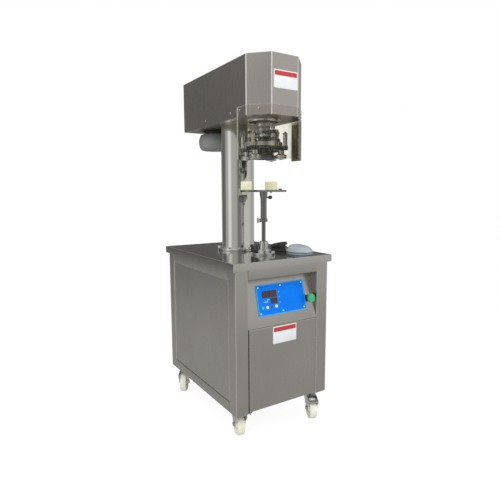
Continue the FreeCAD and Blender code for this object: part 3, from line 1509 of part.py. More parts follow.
def build_pedal():
    """Foot switch: a base plate with the switch block and hinge cheeks, and a domed treadle over it."""
    base = new_part("Ellipsoid", "pedal_footprint", Radius1=4 * pedal_base_height, Radius2=pedal_half_length,
                    Radius3=pedal_half_width)
    base.Angle1 = -90
    base.Angle2 = 90
    slab = span("pedal_slab", (-pedal_half_length * 2, -pedal_half_width * 2, 0),
                (pedal_half_length * 2, pedal_half_width * 2, pedal_base_height))
    plate = DOCUMENT.addObject("Part::MultiCommon", "pedal_plate")
    plate.Shapes = [base, slab]
    block = box("pedal_block", (-28, -20, pedal_base_height - 1), (50, 40, 20))
    heel = -pedal_half_length - 2
    shoe = box("pedal_boot_block", (heel, -7, pedal_base_height - 4), (16, 14, pedal_rim - pedal_base_height + 2.5))
    boot = turned("pedal_boot", [(0, 0), (cord_diameter * 0.8, 0), (cord_diameter * 0.66, boot_length),
                                 (0, boot_length)])
    put(boot, heel, 0, boot_height, turn=-90, about=(0, 1, 0))
    pin_x = -pedal_half_length + pedal_pin_inset
    lug_outer = pedal_lug_inner_y + pedal_lug_thickness
    ear_outer = lug_outer + running_gap + pedal_lug_thickness
    pin = rod("pedal_pin", (pin_x, -ear_outer - 0.5, pedal_pin_height), pedal_pin_radius, 2 * ear_outer + 1,
              along="y")
    lugs = [box("pedal_lug_%d" % index, (pin_x - 4, low_y, pedal_base_height - 1),
                (8, pedal_lug_thickness, pedal_pin_height + 3 - pedal_base_height))
            for index, low_y in enumerate((-lug_outer, pedal_lug_inner_y))]
    solid = fuse("pedal_base_solid", [plate, block, shoe, pin] + lugs)
    piece("pedal_base", place_pedal(group("pedal_base", [solid, boot])))
    outer = dome("treadle_outer", pedal_half_length, pedal_half_width, pedal_height, pedal_rim)
    inner = dome("treadle_inner", pedal_half_length - pedal_wall, pedal_half_width - pedal_wall,
                 pedal_height - pedal_wall, pedal_rim - 1)
    shell = cut("treadle_shell", outer, [inner])
    ears = [box("treadle_ear_%d" % index, (pin_x - 6, low_y, pedal_pin_height - 5),
                (12, pedal_lug_thickness, pedal_height - pedal_pin_height))
            for index, low_y in enumerate((-ear_outer, lug_outer + running_gap))]
    kept_ears = DOCUMENT.addObject("Part::MultiCommon", "treadle_ears")
    kept_ears.Shapes = [fuse("treadle_ear_pair", ears),
                        dome("treadle_ear_limit", pedal_half_length - 1, pedal_half_width - 1, pedal_height - 1, 0)]
    bore = rod("treadle_bore", (pin_x, -2 * ear_outer, pedal_pin_height), pedal_pin_radius + pin_clearance,
               4 * ear_outer, along="y")
    treadle = cut("pedal_treadle", fuse("treadle_solid", [shell, kept_ears]), [bore])
    piece("pedal_treadle", place_pedal(treadle))


pedal_pin_height = pedal_rim + 6

# Each cord route is a short list of points chosen by hand, at the height of the cord's middle.
LEAD_ROUTE = [(205, 2, 786), (202.6, -10.4, 784.2), (195.3, -21.3, 783.3), (184.4, -29, 783.3), (172, -34, 784),
              (163, -37.5, 785)]
TAIL_ROUTE = [(129.5, -72, 786), (128, -86, 784.4), (124, -101, 783.4), (119.5, -117, 783.3), (116.5, -134, 783.3),
              (115.5, -151, 783.4), (117.4, -168, 785), (121.2, -186, 787)]


def rounded_route(points):
    """Straight runs joined by tangent arcs, and the radius of each arc."""
    points = [FreeCAD.Vector(*point) for point in points]
    edges = []
    radii = []
    start = points[0]
    for before, corner, after in zip(points, points[1:], points[2:]):
        back = before - corner
        ahead = after - corner
        shorter = min(back.Length, ahead.Length)
        back.normalize()
        ahead.normalize()
        half_turn = (math.pi - back.getAngle(ahead)) / 2
        cut_back = 0.45 * shorter
        radius = cut_back / math.tan(half_turn)
        entry = corner + back * cut_back
        leave = corner + ahead * cut_back
        bisector = (back + ahead).normalize()
        centre = corner + bisector * (radius / math.cos(half_turn))
        middle = centre - bisector * radius
        edges.append(Part.LineSegment(start, entry).toShape())
        edges.append(Part.Arc(entry, middle, leave).toShape())
        radii.append(radius)
        start = leave
    edges.append(Part.LineSegment(start, points[-1]).toShape())
    return Part.Wire(edges), radii


def build_cord_run(name, route):
    path, radii = rounded_route(route)
    first = path.Edges[0]
    heading = first.tangentAt(first.FirstParameter)
    circle = Part.Circle(path.Edges[0].valueAt(first.FirstParameter), heading, float(cord_diameter) / 2)
    tube = path.makePipeShell([Part.Wire(circle.toShape())], True, True)
    print(name, "length", round(path.Length, 1), "radii", [round(radius, 1) for radius in radii])
    print(name, "volume share", round(tube.Volume / (path.Length * math.pi * (float(cord_diameter) / 2) ** 2), 4))
    run = DOCUMENT.addObject("Part::Feature", name)
    run.Shape = tube
    piece(name, run)


def build_cord():
    build_cord_run("cord_lead", LEAD_ROUTE)
    build_cord_run("cord_tail", TAIL_ROUTE)
    low = table_height + 0.3
    inner = coil_mid_radius - coil_half_width
    outer = coil_mid_radius + coil_half_width
    soft = 5
    profile = [(inner, low + soft), (inner + soft, low), (outer - soft, low), (outer, low + soft),
               (outer, low + coil_height - soft), (outer - soft, low + coil_height),
               (inner + soft, low + coil_height), (inner, low + coil_height - soft)]
    piece("cord_coil", put(turned("cord_coil", profile), coil_x, coil_y, 0))
    profile = [(0, -12), (gland_radius - 2.5, -12), (gland_radius - 2.5, 0), (gland_radius + 3, 0),
               (gland_radius + 3, 5), (gland_radius, 11), (gland_radius - 5, 14), (0, 14)]
    dome_part = put(turned("gland_dome", profile), gland_x, gland_y, table_height)
    spout = rod("gland_spout", (gland_x, gland_y - spout_length, table_height + spout_rise), spout_radius,
                spout_length, along="y")
    piece("cord_gland", fuse("cord_gland", [dome_part, spout]))


def build_all():
    build_frame()
    build_floor()
    build_tabletop()
    build_panels()
    build_fascia()
    build_control_panel()
    build_start_button()
    build_door()
    build_door_fittings()
    build_column()
    build_bolts()
    build_head_plate()
    build_hood()
    build_guard()
    build_housing()
    build_chuck()
    build_chuck_shaft()
    build_turret_disc()
    build_turret_spindle()
    build_seaming_cam()
    for number, station in enumerate((0, 90, 180, 270), 1):
        build_lever(number, station)
        build_roller(number, station)
    build_motor()
    build_cowl()
    build_motor_pulley()
    build_belts()
    build_lift_base()
    build_lift_rod()
    build_lift_cam()
    build_gearmotor()
    build_support_tube()
    build_can_plate()
    build_blocks()
    build_clamps()
    build_caster_mounts()
    for caster in CASTERS:
        build_fork(*caster)
        build_wheel(*caster)
    for caster in CASTERS[:2]:
        build_brake(*caster)
    build_electrics()
    build_pedal()
    build_cord()


def check_and_write():
    DOCUMENT.recompute()
    for thing in DOCUMENT.Objects:
        if "Invalid" in thing.State or "Error" in thing.State:
            raise RuntimeError("%s did not build: %s" % (thing.Name, thing.State))
    os.makedirs("parts", exist_ok=True)
    for thing in PIECES:
        shape = thing.Shape
        if shape.isNull() or not shape.isValid() or not shape.Solids:
            raise RuntimeError("%s has no valid solid" % thing.Label)
    for thing in PIECES:
        thing.Shape.exportStep("parts/%s.step" % thing.Label)
    print(len(PIECES), "sub-parts,", sum(len(thing.Shape.Solids) for thing in PIECES), "solids")


build_all()
check_and_write()
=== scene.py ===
# %% [markdown]
# # A can seamer, dressed in Blender
# The machine closes tin cans: a lift carries a can up to a turning head, and four rollers fold the
# rim of the lid. It is mostly folded stainless steel sheet, so the lesson is about sheet metal:
# rounded folds, brushed grain, and reflections that give bare steel its look.
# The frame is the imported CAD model. It keeps its place and size, and everything here is built on it.

# %% Load the frame
import json
import math

import bmesh
import bpy
import numpy as np
from mathutils import Matrix


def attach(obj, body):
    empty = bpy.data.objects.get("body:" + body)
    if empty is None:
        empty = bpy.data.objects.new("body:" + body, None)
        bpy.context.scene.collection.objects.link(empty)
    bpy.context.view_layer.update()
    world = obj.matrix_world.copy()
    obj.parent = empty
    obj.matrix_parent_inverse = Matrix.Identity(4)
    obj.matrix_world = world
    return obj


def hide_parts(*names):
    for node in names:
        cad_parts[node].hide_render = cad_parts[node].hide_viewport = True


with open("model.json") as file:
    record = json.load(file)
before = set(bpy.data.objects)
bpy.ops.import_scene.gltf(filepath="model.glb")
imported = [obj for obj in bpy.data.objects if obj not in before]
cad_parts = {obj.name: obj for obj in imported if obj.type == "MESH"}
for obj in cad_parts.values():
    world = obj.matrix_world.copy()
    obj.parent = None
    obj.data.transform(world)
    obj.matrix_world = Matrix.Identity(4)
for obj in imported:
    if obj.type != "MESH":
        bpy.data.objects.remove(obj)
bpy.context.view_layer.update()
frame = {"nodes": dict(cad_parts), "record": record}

BODY_OF = {node: body for body, nodes in frame["record"]["behaviour"]["bodies"].items() for node in nodes}

# %% [markdown]
# ## The camera
# A perspective camera is one point and one direction. These numbers were solved from the edges of
# the cabinet in the photograph: the camera stands 1.06 m above the floor, turned 32 degrees, looking
# slightly down.

# %% Camera
CAMERA_PLACE = (-1.1056, -1.8280, 1.0610)
AZIMUTH, PITCH, ROLL = (math.radians(angle) for angle in (32.17, 7.52, -0.26))
SENSOR_WIDTH, FOCAL_LENGTH, FARTHEST = 36.0, 31.46, 60.0


def shown(name, data):
    """New object in the scene for a mesh, a curve, a lamp or a camera."""
    made = bpy.data.objects.new(name, data)
    bpy.context.collection.objects.link(made)
    return made


def aimed(place, right, above, back):
    """Where a camera or a lamp stands: its x is to the right, its y is up, and it looks along -z."""
    return Matrix.Translation(place) @ Matrix(np.column_stack([right, above, back]).tolist()).to_4x4()


ahead = np.array([math.sin(AZIMUTH) * math.cos(PITCH), math.cos(AZIMUTH) * math.cos(PITCH), -math.sin(PITCH)])
level = np.array([math.cos(AZIMUTH), -math.sin(AZIMUTH), 0.0])
upward = np.cross(level, ahead)
right = math.cos(ROLL) * level + math.sin(ROLL) * upward
above = -math.sin(ROLL) * level + math.cos(ROLL) * upward

lens = bpy.data.cameras.new("camera")
lens.sensor_width, lens.lens, lens.clip_end = SENSOR_WIDTH, FOCAL_LENGTH, FARTHEST
camera = shown("camera", lens)
camera.matrix_world = aimed(CAMERA_PLACE, right, above, -ahead)
bpy.context.scene.camera = camera
print("camera looks along", ahead.round(3))

# %% [markdown]
# ## Surfaces from arrays
# A surface is a grid of points. Each helper works out whole arrays at once: one gives the quads of
# a grid, one rounds the corners of an outline, one moves an outline inwards, and one makes the mesh.
# Lengths are in millimetres here, because that is how sheet metal is measured.

# %% Grids and meshes
def grid_faces(rows, columns, wrap_rows=False, wrap_columns=False):
    """Quads between neighbours of a grid: point (i, j) has index i * columns + j."""
    index = np.arange(rows * columns).reshape(rows, columns)
    if wrap_rows:
        index = np.vstack([index, index[:1]])
    if wrap_columns:
        index = np.hstack([index, index[:, :1]])
    return np.stack([index[:-1, :-1], index[:-1, 1:], index[1:, 1:], index[1:, :-1]], -1).reshape(-1, 4)


UPRIGHT = (np.eye(3), np.zeros(3))


def smooth_shaded(mesh, angle):
    """Smooth shading, with a hard edge where two faces meet at more than the angle."""
    mesh.polygons.foreach_set("use_smooth", np.ones(len(mesh.polygons), bool))
    mesh.set_sharp_from_angle(angle=math.radians(angle))


def piece(name, points, material, body, wrap_rows=False, wrap_columns=False, capped=False,
          place=UPRIGHT, sharp=32, fold_highlight=None):
    """Mesh of a grid of points. Place is (axes, origin): world = axes * local + origin.

    Caps close the first and the last row.
    """
    points = np.asarray(points, float)
    rows, columns = points.shape[:2]
    world = points.reshape(-1, 3) @ np.asarray(place[0], float).T + np.asarray(place[1], float)
    faces = grid_faces(rows, columns, wrap_rows, wrap_columns).tolist()
    if capped:
        faces += [list(range(columns)), list(range((rows - 1) * columns, rows * columns))]
    return finished(name, world, faces, material, body, sharp, fold_highlight)


def finished(name, world, faces, material, body, sharp=32, fold_highlight=None):
    """Merge doubled points, turn the faces outwards, shade smooth up to an angle, and ride on a body."""
    mesh = bpy.data.meshes.new(name)
    mesh.from_pydata((world / 1000.0).tolist(), [], faces)
    # the painted highlight of the folds rides along as a point attribute
    if fold_highlight is not None:
        mesh.attributes.new("fold_highlight", "FLOAT", "POINT").data.foreach_set("value", fold_highlight)
    work = bmesh.new()
    work.from_mesh(mesh)
    bmesh.ops.remove_doubles(work, verts=work.verts, dist=2e-6)
    bmesh.ops.dissolve_degenerate(work, edges=work.edges, dist=1e-7)
    bmesh.ops.recalc_face_normals(work, faces=work.faces)
    work.to_mesh(mesh)
    work.free()
    smooth_shaded(mesh, sharp)
    mesh.materials.append(material)
    made = shown(name, mesh)
    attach(made, body)
    return made


# %% Outlines
def rounded(corners, radius, steps=4):
    """Each corner becomes an arc: the weighted quadratic curve between its two tangent points.

    With the sine of half the inner angle as the weight of the corner, that curve is a true circle.
    """
    corners = np.asarray(corners, float)
    radius = np.broadcast_to(np.asarray(radius, float), corners.shape[:-1])
    back = np.roll(corners, 1, axis=-2) - corners
    onward = np.roll(corners, -1, axis=-2) - corners
    back_length = np.linalg.norm(back, axis=-1) + 1e-12
    onward_length = np.linalg.norm(onward, axis=-1) + 1e-12
    back = back / back_length[..., None]
    onward = onward / onward_length[..., None]
    half = 0.5 * np.arccos(np.clip((back * onward).sum(-1), -1, 1))
    reach = np.minimum(radius / np.maximum(np.tan(half), 1e-6), 0.48 * np.minimum(back_length, onward_length))
    share = np.linspace(0, 1, steps + 1)[:, None]
    start = (corners + back * reach[..., None])[..., None, :]
    end = (corners + onward * reach[..., None])[..., None, :]
    corner = corners[..., None, :]
    weight = np.sin(half)[..., None, None]
    first, middle, last = (1 - share) ** 2, 2 * share * (1 - share) * weight, share ** 2
    curve = (first * start + middle * corner + last * end) / (first + middle + last)
    return curve.reshape(corners.shape[:-2] + (-1, 2))


def inset(corners, distance):
    """Outline moved inwards along its mitres. The corners run counter-clockwise."""
    corners = np.asarray(corners, float)
    along = np.roll(corners, -1, axis=0) - corners
    along = along / np.linalg.norm(along, axis=1)[:, None]
    inwards = np.column_stack([-along[:, 1], along[:, 0]])
    previous = np.roll(inwards, 1, axis=0)
    mitre = (inwards + previous) / (1 + (inwards * previous).sum(1))[:, None]
    return corners + np.asarray(distance, float)[:, None, None] * mitre


def rectangle(low_x, low_y, high_x, high_y):
    return np.array([(low_x, low_y), (high_x, low_y), (high_x, high_y), (low_x, high_y)], float)


# %% Sheets, bars and turned pieces
def folded(name, corners, profile, fold, material, body, loop=False, steps=4, place=UPRIGHT, rim=None):
    """Sheet folded round an outline. The profile is (distance inwards, height) from one rim to the other.

    A rim is (width, highlight): a last narrow strip on each flat end, so that the painted highlight of the
    folds stops there, and the strength of the painted highlight on the edge of the outer end.
    """
    profile = np.asarray(profile, float)
    if rim:
        profile = np.vstack([profile[:1] + (rim[0], 0), profile, profile[-1:] + (rim[0], 0)])
    moved = inset(corners, profile[:, 0])
    radius = np.maximum(fold - profile[:, :1], 0.3)
    outline = rounded(moved, radius, steps)
    height = np.broadcast_to(profile[:, 1, None, None], outline.shape[:2] + (1,))
    points = np.concatenate([outline, height], -1)
    # painted highlight, strongest in the middle of each fold and on the outer rim's edge
    fold_highlight = np.tile(np.sin(np.pi * np.arange(steps + 1) / steps), (len(profile), len(corners)))
    if rim:
        fold_highlight[-4:-1] = np.maximum(fold_highlight[-4:-1], rim[1])
        fold_highlight[[0, -1]] = 0.0
    return piece(name, points, material, body, wrap_rows=loop, wrap_columns=True,
                 capped=not loop, place=place, fold_highlight=fold_highlight.ravel() if loop or rim else None)


def soft_profile(points, radius, steps=3):
    """Profile whose inner corners are rounded and whose two ends stay where they are."""
    radius = np.full(len(points), float(radius))
    radius[[0, -1]] = 0
    return rounded(points, radius, steps)


def turned(name, profile, centre, material, body, segments=96, loop=False, axes=np.eye(3), ease=0.5):
    """Profile of (radius, height) carried round an axis: x = r cos a, y = r sin a, z = h."""
    profile = rounded(profile, ease, 3) if loop else soft_profile(profile, ease)
    angle = np.linspace(0, 2 * np.pi, segments, endpoint=False)
    radius, height = profile[:, :1], profile[:, 1:]
    points = np.stack([radius * np.cos(angle), radius * np.sin(angle),
                       np.broadcast_to(height, (len(profile), segments))], -1)
    return piece(name, points, material, body, wrap_rows=loop, wrap_columns=True, place=(axes, centre))


def bar(name, section, low, high, material, body, place=UPRIGHT, fold=1.0, steps=3):
    """Straight bar: a rounded section carried along the third direction from low to high."""
    outline = rounded(section, fold, steps)
    rows = [np.column_stack([outline, np.full(len(outline), at)]) for at in (low, high)]
    return piece(name, np.stack(rows), material, body, wrap_columns=True, capped=True, place=place)


# %% [markdown]
# A machined piece keeps the shape of the CAD model. Its copy gets joined faces and a small bevel,
# because a real edge is never perfectly sharp and catches a thin line of light.

# %% Machined copies
FLAT, SHARP_EDGE = math.radians(0.6), 28


def eased(node, material, width=0.4):
    """Copy of a CAD node with its flat faces joined and its sharp edges broken by a bevel."""
    mesh = frame["nodes"][node].data.copy()
    work = bmesh.new()
    work.from_mesh(mesh)
    bmesh.ops.remove_doubles(work, verts=work.verts, dist=1e-6)
    bmesh.ops.dissolve_limit(work, angle_limit=FLAT, verts=work.verts, edges=work.edges)
    work.to_mesh(mesh)
    work.free()
    smooth_shaded(mesh, SHARP_EDGE)
    mesh.materials.clear()
    mesh.materials.append(material)
    made = shown(node + "_eased", mesh)
    bevel = made.modifiers.new("edges", "BEVEL")
    bevel.width = width / 1000.0
    bevel.segments = 2
    bevel.limit_method = "ANGLE"
    bevel.angle_limit = math.radians(SHARP_EDGE)
    bevel.harden_normals = True
    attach(made, BODY_OF[node])
    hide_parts(node)
    return made


# %% [markdown]
# ## Finishes
# A finish is a small tree of nodes. These helpers make a node, feed its inputs and hand on an
# output, so that each finish reads as a few lines. The patterns are noise on the object's own
# coordinates, so they stay in place on a piece when it moves.

# %% Nodes
NOISE_LOW, NOISE_HIGH = 0.3, 0.7  # most of a noise pattern lies between these


def new_finish(name):
    material = bpy.data.materials.new(name)
    material.use_nodes = True
    return material, material.node_tree, material.node_tree.nodes["Principled BSDF"]


def fed(tree, socket, value):
    """A socket takes a plain value, or a link when it is given another node's output."""
    if isinstance(value, bpy.types.NodeSocket):
        tree.links.new(value, socket)
    else:
        socket.default_value = value


def added(tree, kind, **inputs):
    """New node with its inputs fed. An underscore in an input's name stands for a space."""
    node = tree.nodes.new("ShaderNode" + kind)
    for name, value in inputs.items():
        fed(tree, node.inputs[name.replace("_", " ")], value)
    return node


def object_place(tree):
    return added(tree, "TexCoord").outputs["Object"]


def joined(tree, operation, first, second):
    """Two numbers or outputs joined by one operation, such as MULTIPLY."""
    node = added(tree, "Math")
    node.operation = operation
    fed(tree, node.inputs[0], first)
    fed(tree, node.inputs[1], second)
    return node.outputs[0]


def layered(tree, share, first, second):
    """The first colour where the share is 0, the second where it is 1."""
    mix = added(tree, "Mix")
    mix.data_type = "RGBA"
    fed(tree, mix.inputs["Factor"], share)
    for socket, colour in ((mix.inputs["A"], first), (mix.inputs["B"], second)):
        fed(tree, socket, (*colour, 1) if isinstance(colour, tuple) else colour)
    return mix.outputs["Result"]


def shaders_mixed(tree, share, first, second):
    """The first shader where the share is 0, the second where it is 1."""
    mix = added(tree, "MixShader", Fac=share)
    fed(tree, mix.inputs[1], first.outputs[0])
    fed(tree, mix.inputs[2], second.outputs[0])
    return mix.outputs[0]


def between(tree, value, low, high, start=0.0, end=1.0):
    """From start at low to end at high, held beyond both."""
    reach = added(tree, "MapRange", Value=value, From_Min=low, From_Max=high, To_Min=start, To_Max=end)
    return reach.outputs["Result"]


def grain_pattern(tree, stretch, scale, detail=4.0):
    """Noise on the object's own coordinates, stretched along one direction."""
    mapping = added(tree, "Mapping", Vector=object_place(tree), Scale=stretch)
    return added(tree, "TexNoise", Vector=mapping.outputs["Vector"], Scale=scale, Detail=detail).outputs["Fac"]


def two_tones(tree, pattern, dark, light):
    """One colour where the pattern is low, another where it is high."""
    ramp = added(tree, "ValToRGB", Fac=pattern)
    for element, position, tone in zip(ramp.color_ramp.elements, (NOISE_LOW, NOISE_HIGH), (dark, light)):
        element.position = position
        element.color = (*tone, 1)
    return ramp.outputs["Color"]


def mottled(tree, pattern, tone, share):
    """A tone that the pattern makes a share darker and lighter."""
    tone = np.array(tone)
    return two_tones(tree, pattern, tone * (1 - share), np.minimum(tone * (1 + share), 1))


def textured(tree, shader, rough_pattern, roughness, below, above, fine, strength, depth):
    """One pattern spreads the roughness about its level, and the fine one drives the bump."""
    spread = between(tree, rough_pattern, NOISE_LOW, NOISE_HIGH, roughness - below, roughness + above)
    fed(tree, shader.inputs["Roughness"], spread)
    bump = added(tree, "Bump", Height=fine, Strength=strength, Distance=depth / 1000.0)
    fed(tree, shader.inputs["Normal"], bump.outputs["Normal"])


# %% [markdown]
# Bare steel has almost no colour of its own. Its look is the grain: fine scratches in one direction
# that stretch each highlight. Here a noise pattern is squeezed across the grain and drives the
# roughness and a small bump. A second, slow noise gives the faint clouds of handled sheet.

# %% Steel
GRAIN = {"x": (6, 900, 900), "y": (900, 6, 900), "z": (900, 900, 6), "none": (260, 260, 260)}
# colour and metalness of the painted highlight along the folds
FOLD_HIGHLIGHT_TONE, FOLD_HIGHLIGHT_METAL = (0.93, 0.89, 0.85), 0.35


def steel(name, tone, roughness, grain="z", scratch=0.10, cloud=0.05, fold_highlight_share=0.0):
    """Steel with its grain along one axis. Tone is the reflected colour.

    A painted highlight lies along each fold as a pale, less metallic line: the attribute is 1 on it, 0 elsewhere.
    """
    material, tree, shader = new_finish(name)
    fine = grain_pattern(tree, GRAIN[grain], 1.0)
    slow = grain_pattern(tree, (1, 1, 1), 3.2, 2.0)
    colour = mottled(tree, slow, tone, cloud)
    textured(tree, shader, fine, roughness, 0.05, 0.07, fine, scratch, 0.06)
    shader.inputs["Metallic"].default_value = 1.0
    if fold_highlight_share:
        # painted highlight: where the attribute is high, the colour turns pale and the steel less metallic
        fold_highlight = added(tree, "Attribute")
        fold_highlight.attribute_name = "fold_highlight"
        share = joined(tree, "MULTIPLY", fold_highlight.outputs["Fac"], fold_highlight_share)
        colour = layered(tree, share, colour, FOLD_HIGHLIGHT_TONE)
        fed(tree, shader.inputs["Metallic"], between(tree, share, 0.0, 1.0, 1.0, FOLD_HIGHLIGHT_METAL))
    fed(tree, shader.inputs["Base Color"], colour)
    return material


def banded_steel(name, bands, roughness):
    """Steel whose tone changes with height: ground shafts and blackened arms of one forging."""
    material = steel(name, (0.5, 0.5, 0.5), roughness, "none", scratch=0.04)
    tree = material.node_tree
    height = added(tree, "SeparateXYZ", Vector=object_place(tree)).outputs["Z"]
    bottom, top = bands[0][0], bands[-1][0]
    ramp = added(tree, "ValToRGB", Fac=between(tree, height, bottom / 1000.0, top / 1000.0))
    steps = ramp.color_ramp
    steps.interpolation = "CONSTANT"
    for index, (level, tone) in enumerate(bands[:-1]):
        step = steps.elements[0] if index == 0 else steps.elements.new((level - bottom) / (top - bottom))
        step.color = (tone, tone, tone * 0.99, 1)
    steps.elements[-1].color = steps.elements[-2].color
    fed(tree, tree.nodes["Principled BSDF"].inputs["Base Color"], ramp.outputs["Color"])
    return material


LEVER_BANDS = [(1200, 0.06), (1248, 0.12), (1257, 0.60), (1258.8, 0.80), (1311, 0.12), (1323, 0.85), (1345, 0.85)]
SHEET_TONE = (0.56, 0.545, 0.515)
sheet_upright = steel("sheet steel, grain upright", SHEET_TONE, 0.27, "z", fold_highlight_share=0.4)
sheet_along_y = steel("sheet steel, grain along y", SHEET_TONE, 0.30, "y", fold_highlight_share=0.4)
sheet_along_x = steel("sheet steel, grain along x", SHEET_TONE, 0.30, "x", fold_highlight_share=0.4)
# the underside's darker olive tone is a painted reflection of the dim surroundings below the hood
underside_shade_steel = steel("hood underside", (0.36, 0.335, 0.27), 0.34, "x", scratch=0.06)
hood_steel = steel("hood sheet steel", (0.585, 0.56, 0.53), 0.27, "z", fold_highlight_share=0.95)
sheet_top = steel("polished table steel", (0.56, 0.56, 0.54), 0.12, "y", scratch=0.05, fold_highlight_share=0.3)
column_steel = steel("polished column steel", (0.77, 0.76, 0.74), 0.07, "z", scratch=0.03)
machined = steel("machined steel", (0.66, 0.66, 0.65), 0.20, "none", scratch=0.04)
bright = steel("bright steel", (0.80, 0.80, 0.79), 0.13, "none", scratch=0.03)
dark_steel = steel("blackened steel", (0.16, 0.16, 0.16), 0.30, "none", scratch=0.05)
lever_steel = banded_steel("lever steel", LEVER_BANDS, 0.16)
tube_steel = steel("brushed tube steel", (0.28, 0.28, 0.27), 0.20, "z", scratch=0.08)
rod_steel = steel("ground rod steel", (0.25, 0.25, 0.24), 0.12, "z", scratch=0.03)
zinc = steel("zinc plate", (0.72, 0.73, 0.75), 0.22, "none", scratch=0.04)
# darker olive steel for pieces inside the cabinet and the hood: painted shade
inner_shade_steel = steel("steel inside", (0.34, 0.33, 0.28), 0.42, "z")


# %% [markdown]
# Plastic and rubber are the opposite: their own colour shows, and the surface is a fine moulded
# texture. The same noise helpers give a slight mottling and an even finer bump.

# %% Plastics
def moulded(name, colour, roughness, texture=0.06, scale=700.0, gloss=None, variation=0.04):
    """Plastic, rubber or paint: a slightly mottled colour over a fine moulded texture."""
    material, tree, shader = new_finish(name)
    fine = grain_pattern(tree, (1, 1, 1), scale)
    slow = grain_pattern(tree, (1, 1, 1), 18.0, 3.0)
    fed(tree, shader.inputs["Base Color"], mottled(tree, slow, colour, variation))
    textured(tree, shader, slow, roughness, 0.04, 0.05, fine, texture, 0.05)
    if gloss is not None:
        shader.inputs["Coat Weight"].default_value = gloss
        shader.inputs["Coat Roughness"].default_value = 0.08
    return material


panel_blue = moulded("blue control face", (0.001, 0.195, 0.86), 0.45, 0.02)
panel_rim_blue = moulded("light blue rim", (0.03, 0.36, 0.90), 0.45, 0.02)
for material in (panel_blue, panel_rim_blue):
    material.node_tree.nodes["Principled BSDF"].inputs["Specular IOR Level"].default_value = 0.12
window_dark = moulded("display window", (0.018, 0.016, 0.022), 0.12, 0.0, gloss=0.6)
digit_red = moulded("unlit display bars", (0.20, 0.035, 0.03), 0.35, 0.0)
key_white = moulded("white key", (0.82, 0.84, 0.84), 0.35, 0.03)
key_green = moulded("green key", (0.06, 0.50, 0.34), 0.35, 0.03)
key_plum = moulded("plum key", (0.17, 0.04, 0.10), 0.35, 0.03)
button_green = moulded("green mushroom", (0.035, 0.42, 0.14), 0.28, 0.02, gloss=0.5)
black_plastic = moulded("black plastic", (0.018, 0.018, 0.019), 0.38, 0.08)
label_white = moulded("label white", (0.80, 0.82, 0.84), 0.36, 0.02)
label_red = moulded("label red", (0.56, 0.035, 0.04), 0.34, 0.02)
nylon = moulded("cream nylon", (0.95, 0.95, 0.66), 0.42, 0.05)
wheel_nylon = moulded("wheel nylon", (0.88, 0.89, 0.74), 0.45, 0.06, variation=0.07)
pedal_grey = moulded("pedal shell", (0.37, 0.43, 0.465), 0.40, 0.10, scale=500.0)
pedal_dark = moulded("pedal base rubber", (0.035, 0.038, 0.042), 0.55, 0.12)
cord_black = moulded("cord jacket", (0.034, 0.036, 0.033), 0.36, 0.05)
cowl_grey = moulded("cowl plastic", (0.235, 0.245, 0.24), 0.36, 0.08)
motor_paint = moulded("motor paint", (0.045, 0.047, 0.05), 0.40, 0.08)
belt_rubber = moulded("belt rubber", (0.02, 0.02, 0.02), 0.62, 0.15)
drive_grey = moulded("drive housing", (0.30, 0.31, 0.31), 0.45, 0.08)


# %% [markdown]
# The guard is clear sheet. Straight-through light and a thin gloss are enough for it, because
# refraction in a sheet of 3 mm only moves what is behind it by about a millimetre.

# %% Clear guard
# metres here: a finish reads the object's own coordinates
# where the painted shade below the hood begins and becomes full, and where it deepens towards the right: it stands
# in for dark surroundings seen through the sheet
PAINTED_SHADE_TOP, PAINTED_SHADE_LOW = 1.374, 1.355
PAINTED_SHADE_RIGHT = (0.01, 0.105)
EDGE_TOP, EDGE_BACK = 1.4112, -0.2042


def clear_sheet(name):
    """Acrylic sheet: light goes straight through, and the gloss is Schlick's curve of the view angle.

    An olive tint below the hood, deeper towards the right, stands in for the dark surroundings that
    are seen through the sheet in the photograph. The sawn edges are matt and pale.
    """
    material, tree, shader = new_finish(name)
    shader.inputs["Roughness"].default_value = 0.08
    shader.inputs["IOR"].default_value = 1.49
    place = added(tree, "SeparateXYZ", Vector=object_place(tree)).outputs
    # painted shade: a darker olive tint below the hood, deepest towards the right
    painted_shade = between(tree, place["Z"], PAINTED_SHADE_TOP, PAINTED_SHADE_LOW)
    thick = joined(tree, "MULTIPLY", painted_shade, between(tree, place["X"], *PAINTED_SHADE_RIGHT))
    shade_mottle = grain_pattern(tree, (1, 1, 0.6), 26.0, 4.0)
    light_shade_tint = two_tones(tree, shade_mottle, (0.90, 0.885, 0.83), (0.96, 0.95, 0.92))
    deep_shade_tint = two_tones(tree, shade_mottle, (0.20, 0.19, 0.12), (0.42, 0.40, 0.29))
    tint = layered(tree, painted_shade, (0.985, 0.982, 0.975), light_shade_tint)
    tint = layered(tree, thick, tint, deep_shade_tint)
    edge = joined(tree, "MAXIMUM", between(tree, place["Z"], EDGE_TOP, EDGE_TOP + 0.0006),
                  between(tree, place["Y"], EDGE_BACK, EDGE_BACK + 0.0008))
    fed(tree, shader.inputs["Base Color"], layered(tree, edge, (0.30, 0.30, 0.27), (0.86, 0.87, 0.82)))
    facing = added(tree, "LayerWeight", Blend=0.5).outputs["Facing"]
    gloss = joined(tree, "ADD", joined(tree, "MULTIPLY", joined(tree, "POWER", facing, 5.0), 0.9), 0.035)
    gloss = joined(tree, "MAXIMUM", gloss, joined(tree, "MULTIPLY", edge, 0.8))
    both = shaders_mixed(tree, gloss, added(tree, "BsdfTransparent", Color=tint), shader)
    fed(tree, tree.nodes["Material Output"].inputs["Surface"], both)
    return material


acrylic = clear_sheet("clear guard sheet")
print(len(bpy.data.materials), "finishes")

# %% [markdown]
# ## The cord
# The pedal's cord is a fixed length of soft cable, so it comes first. It leaves the gland, lies in
# a wound coil and goes on to the pedal. It is one smooth NURBS line. The wound part is worked out:
# one flat turn on the table, turns that climb inside it, and turns that come down on the outside.

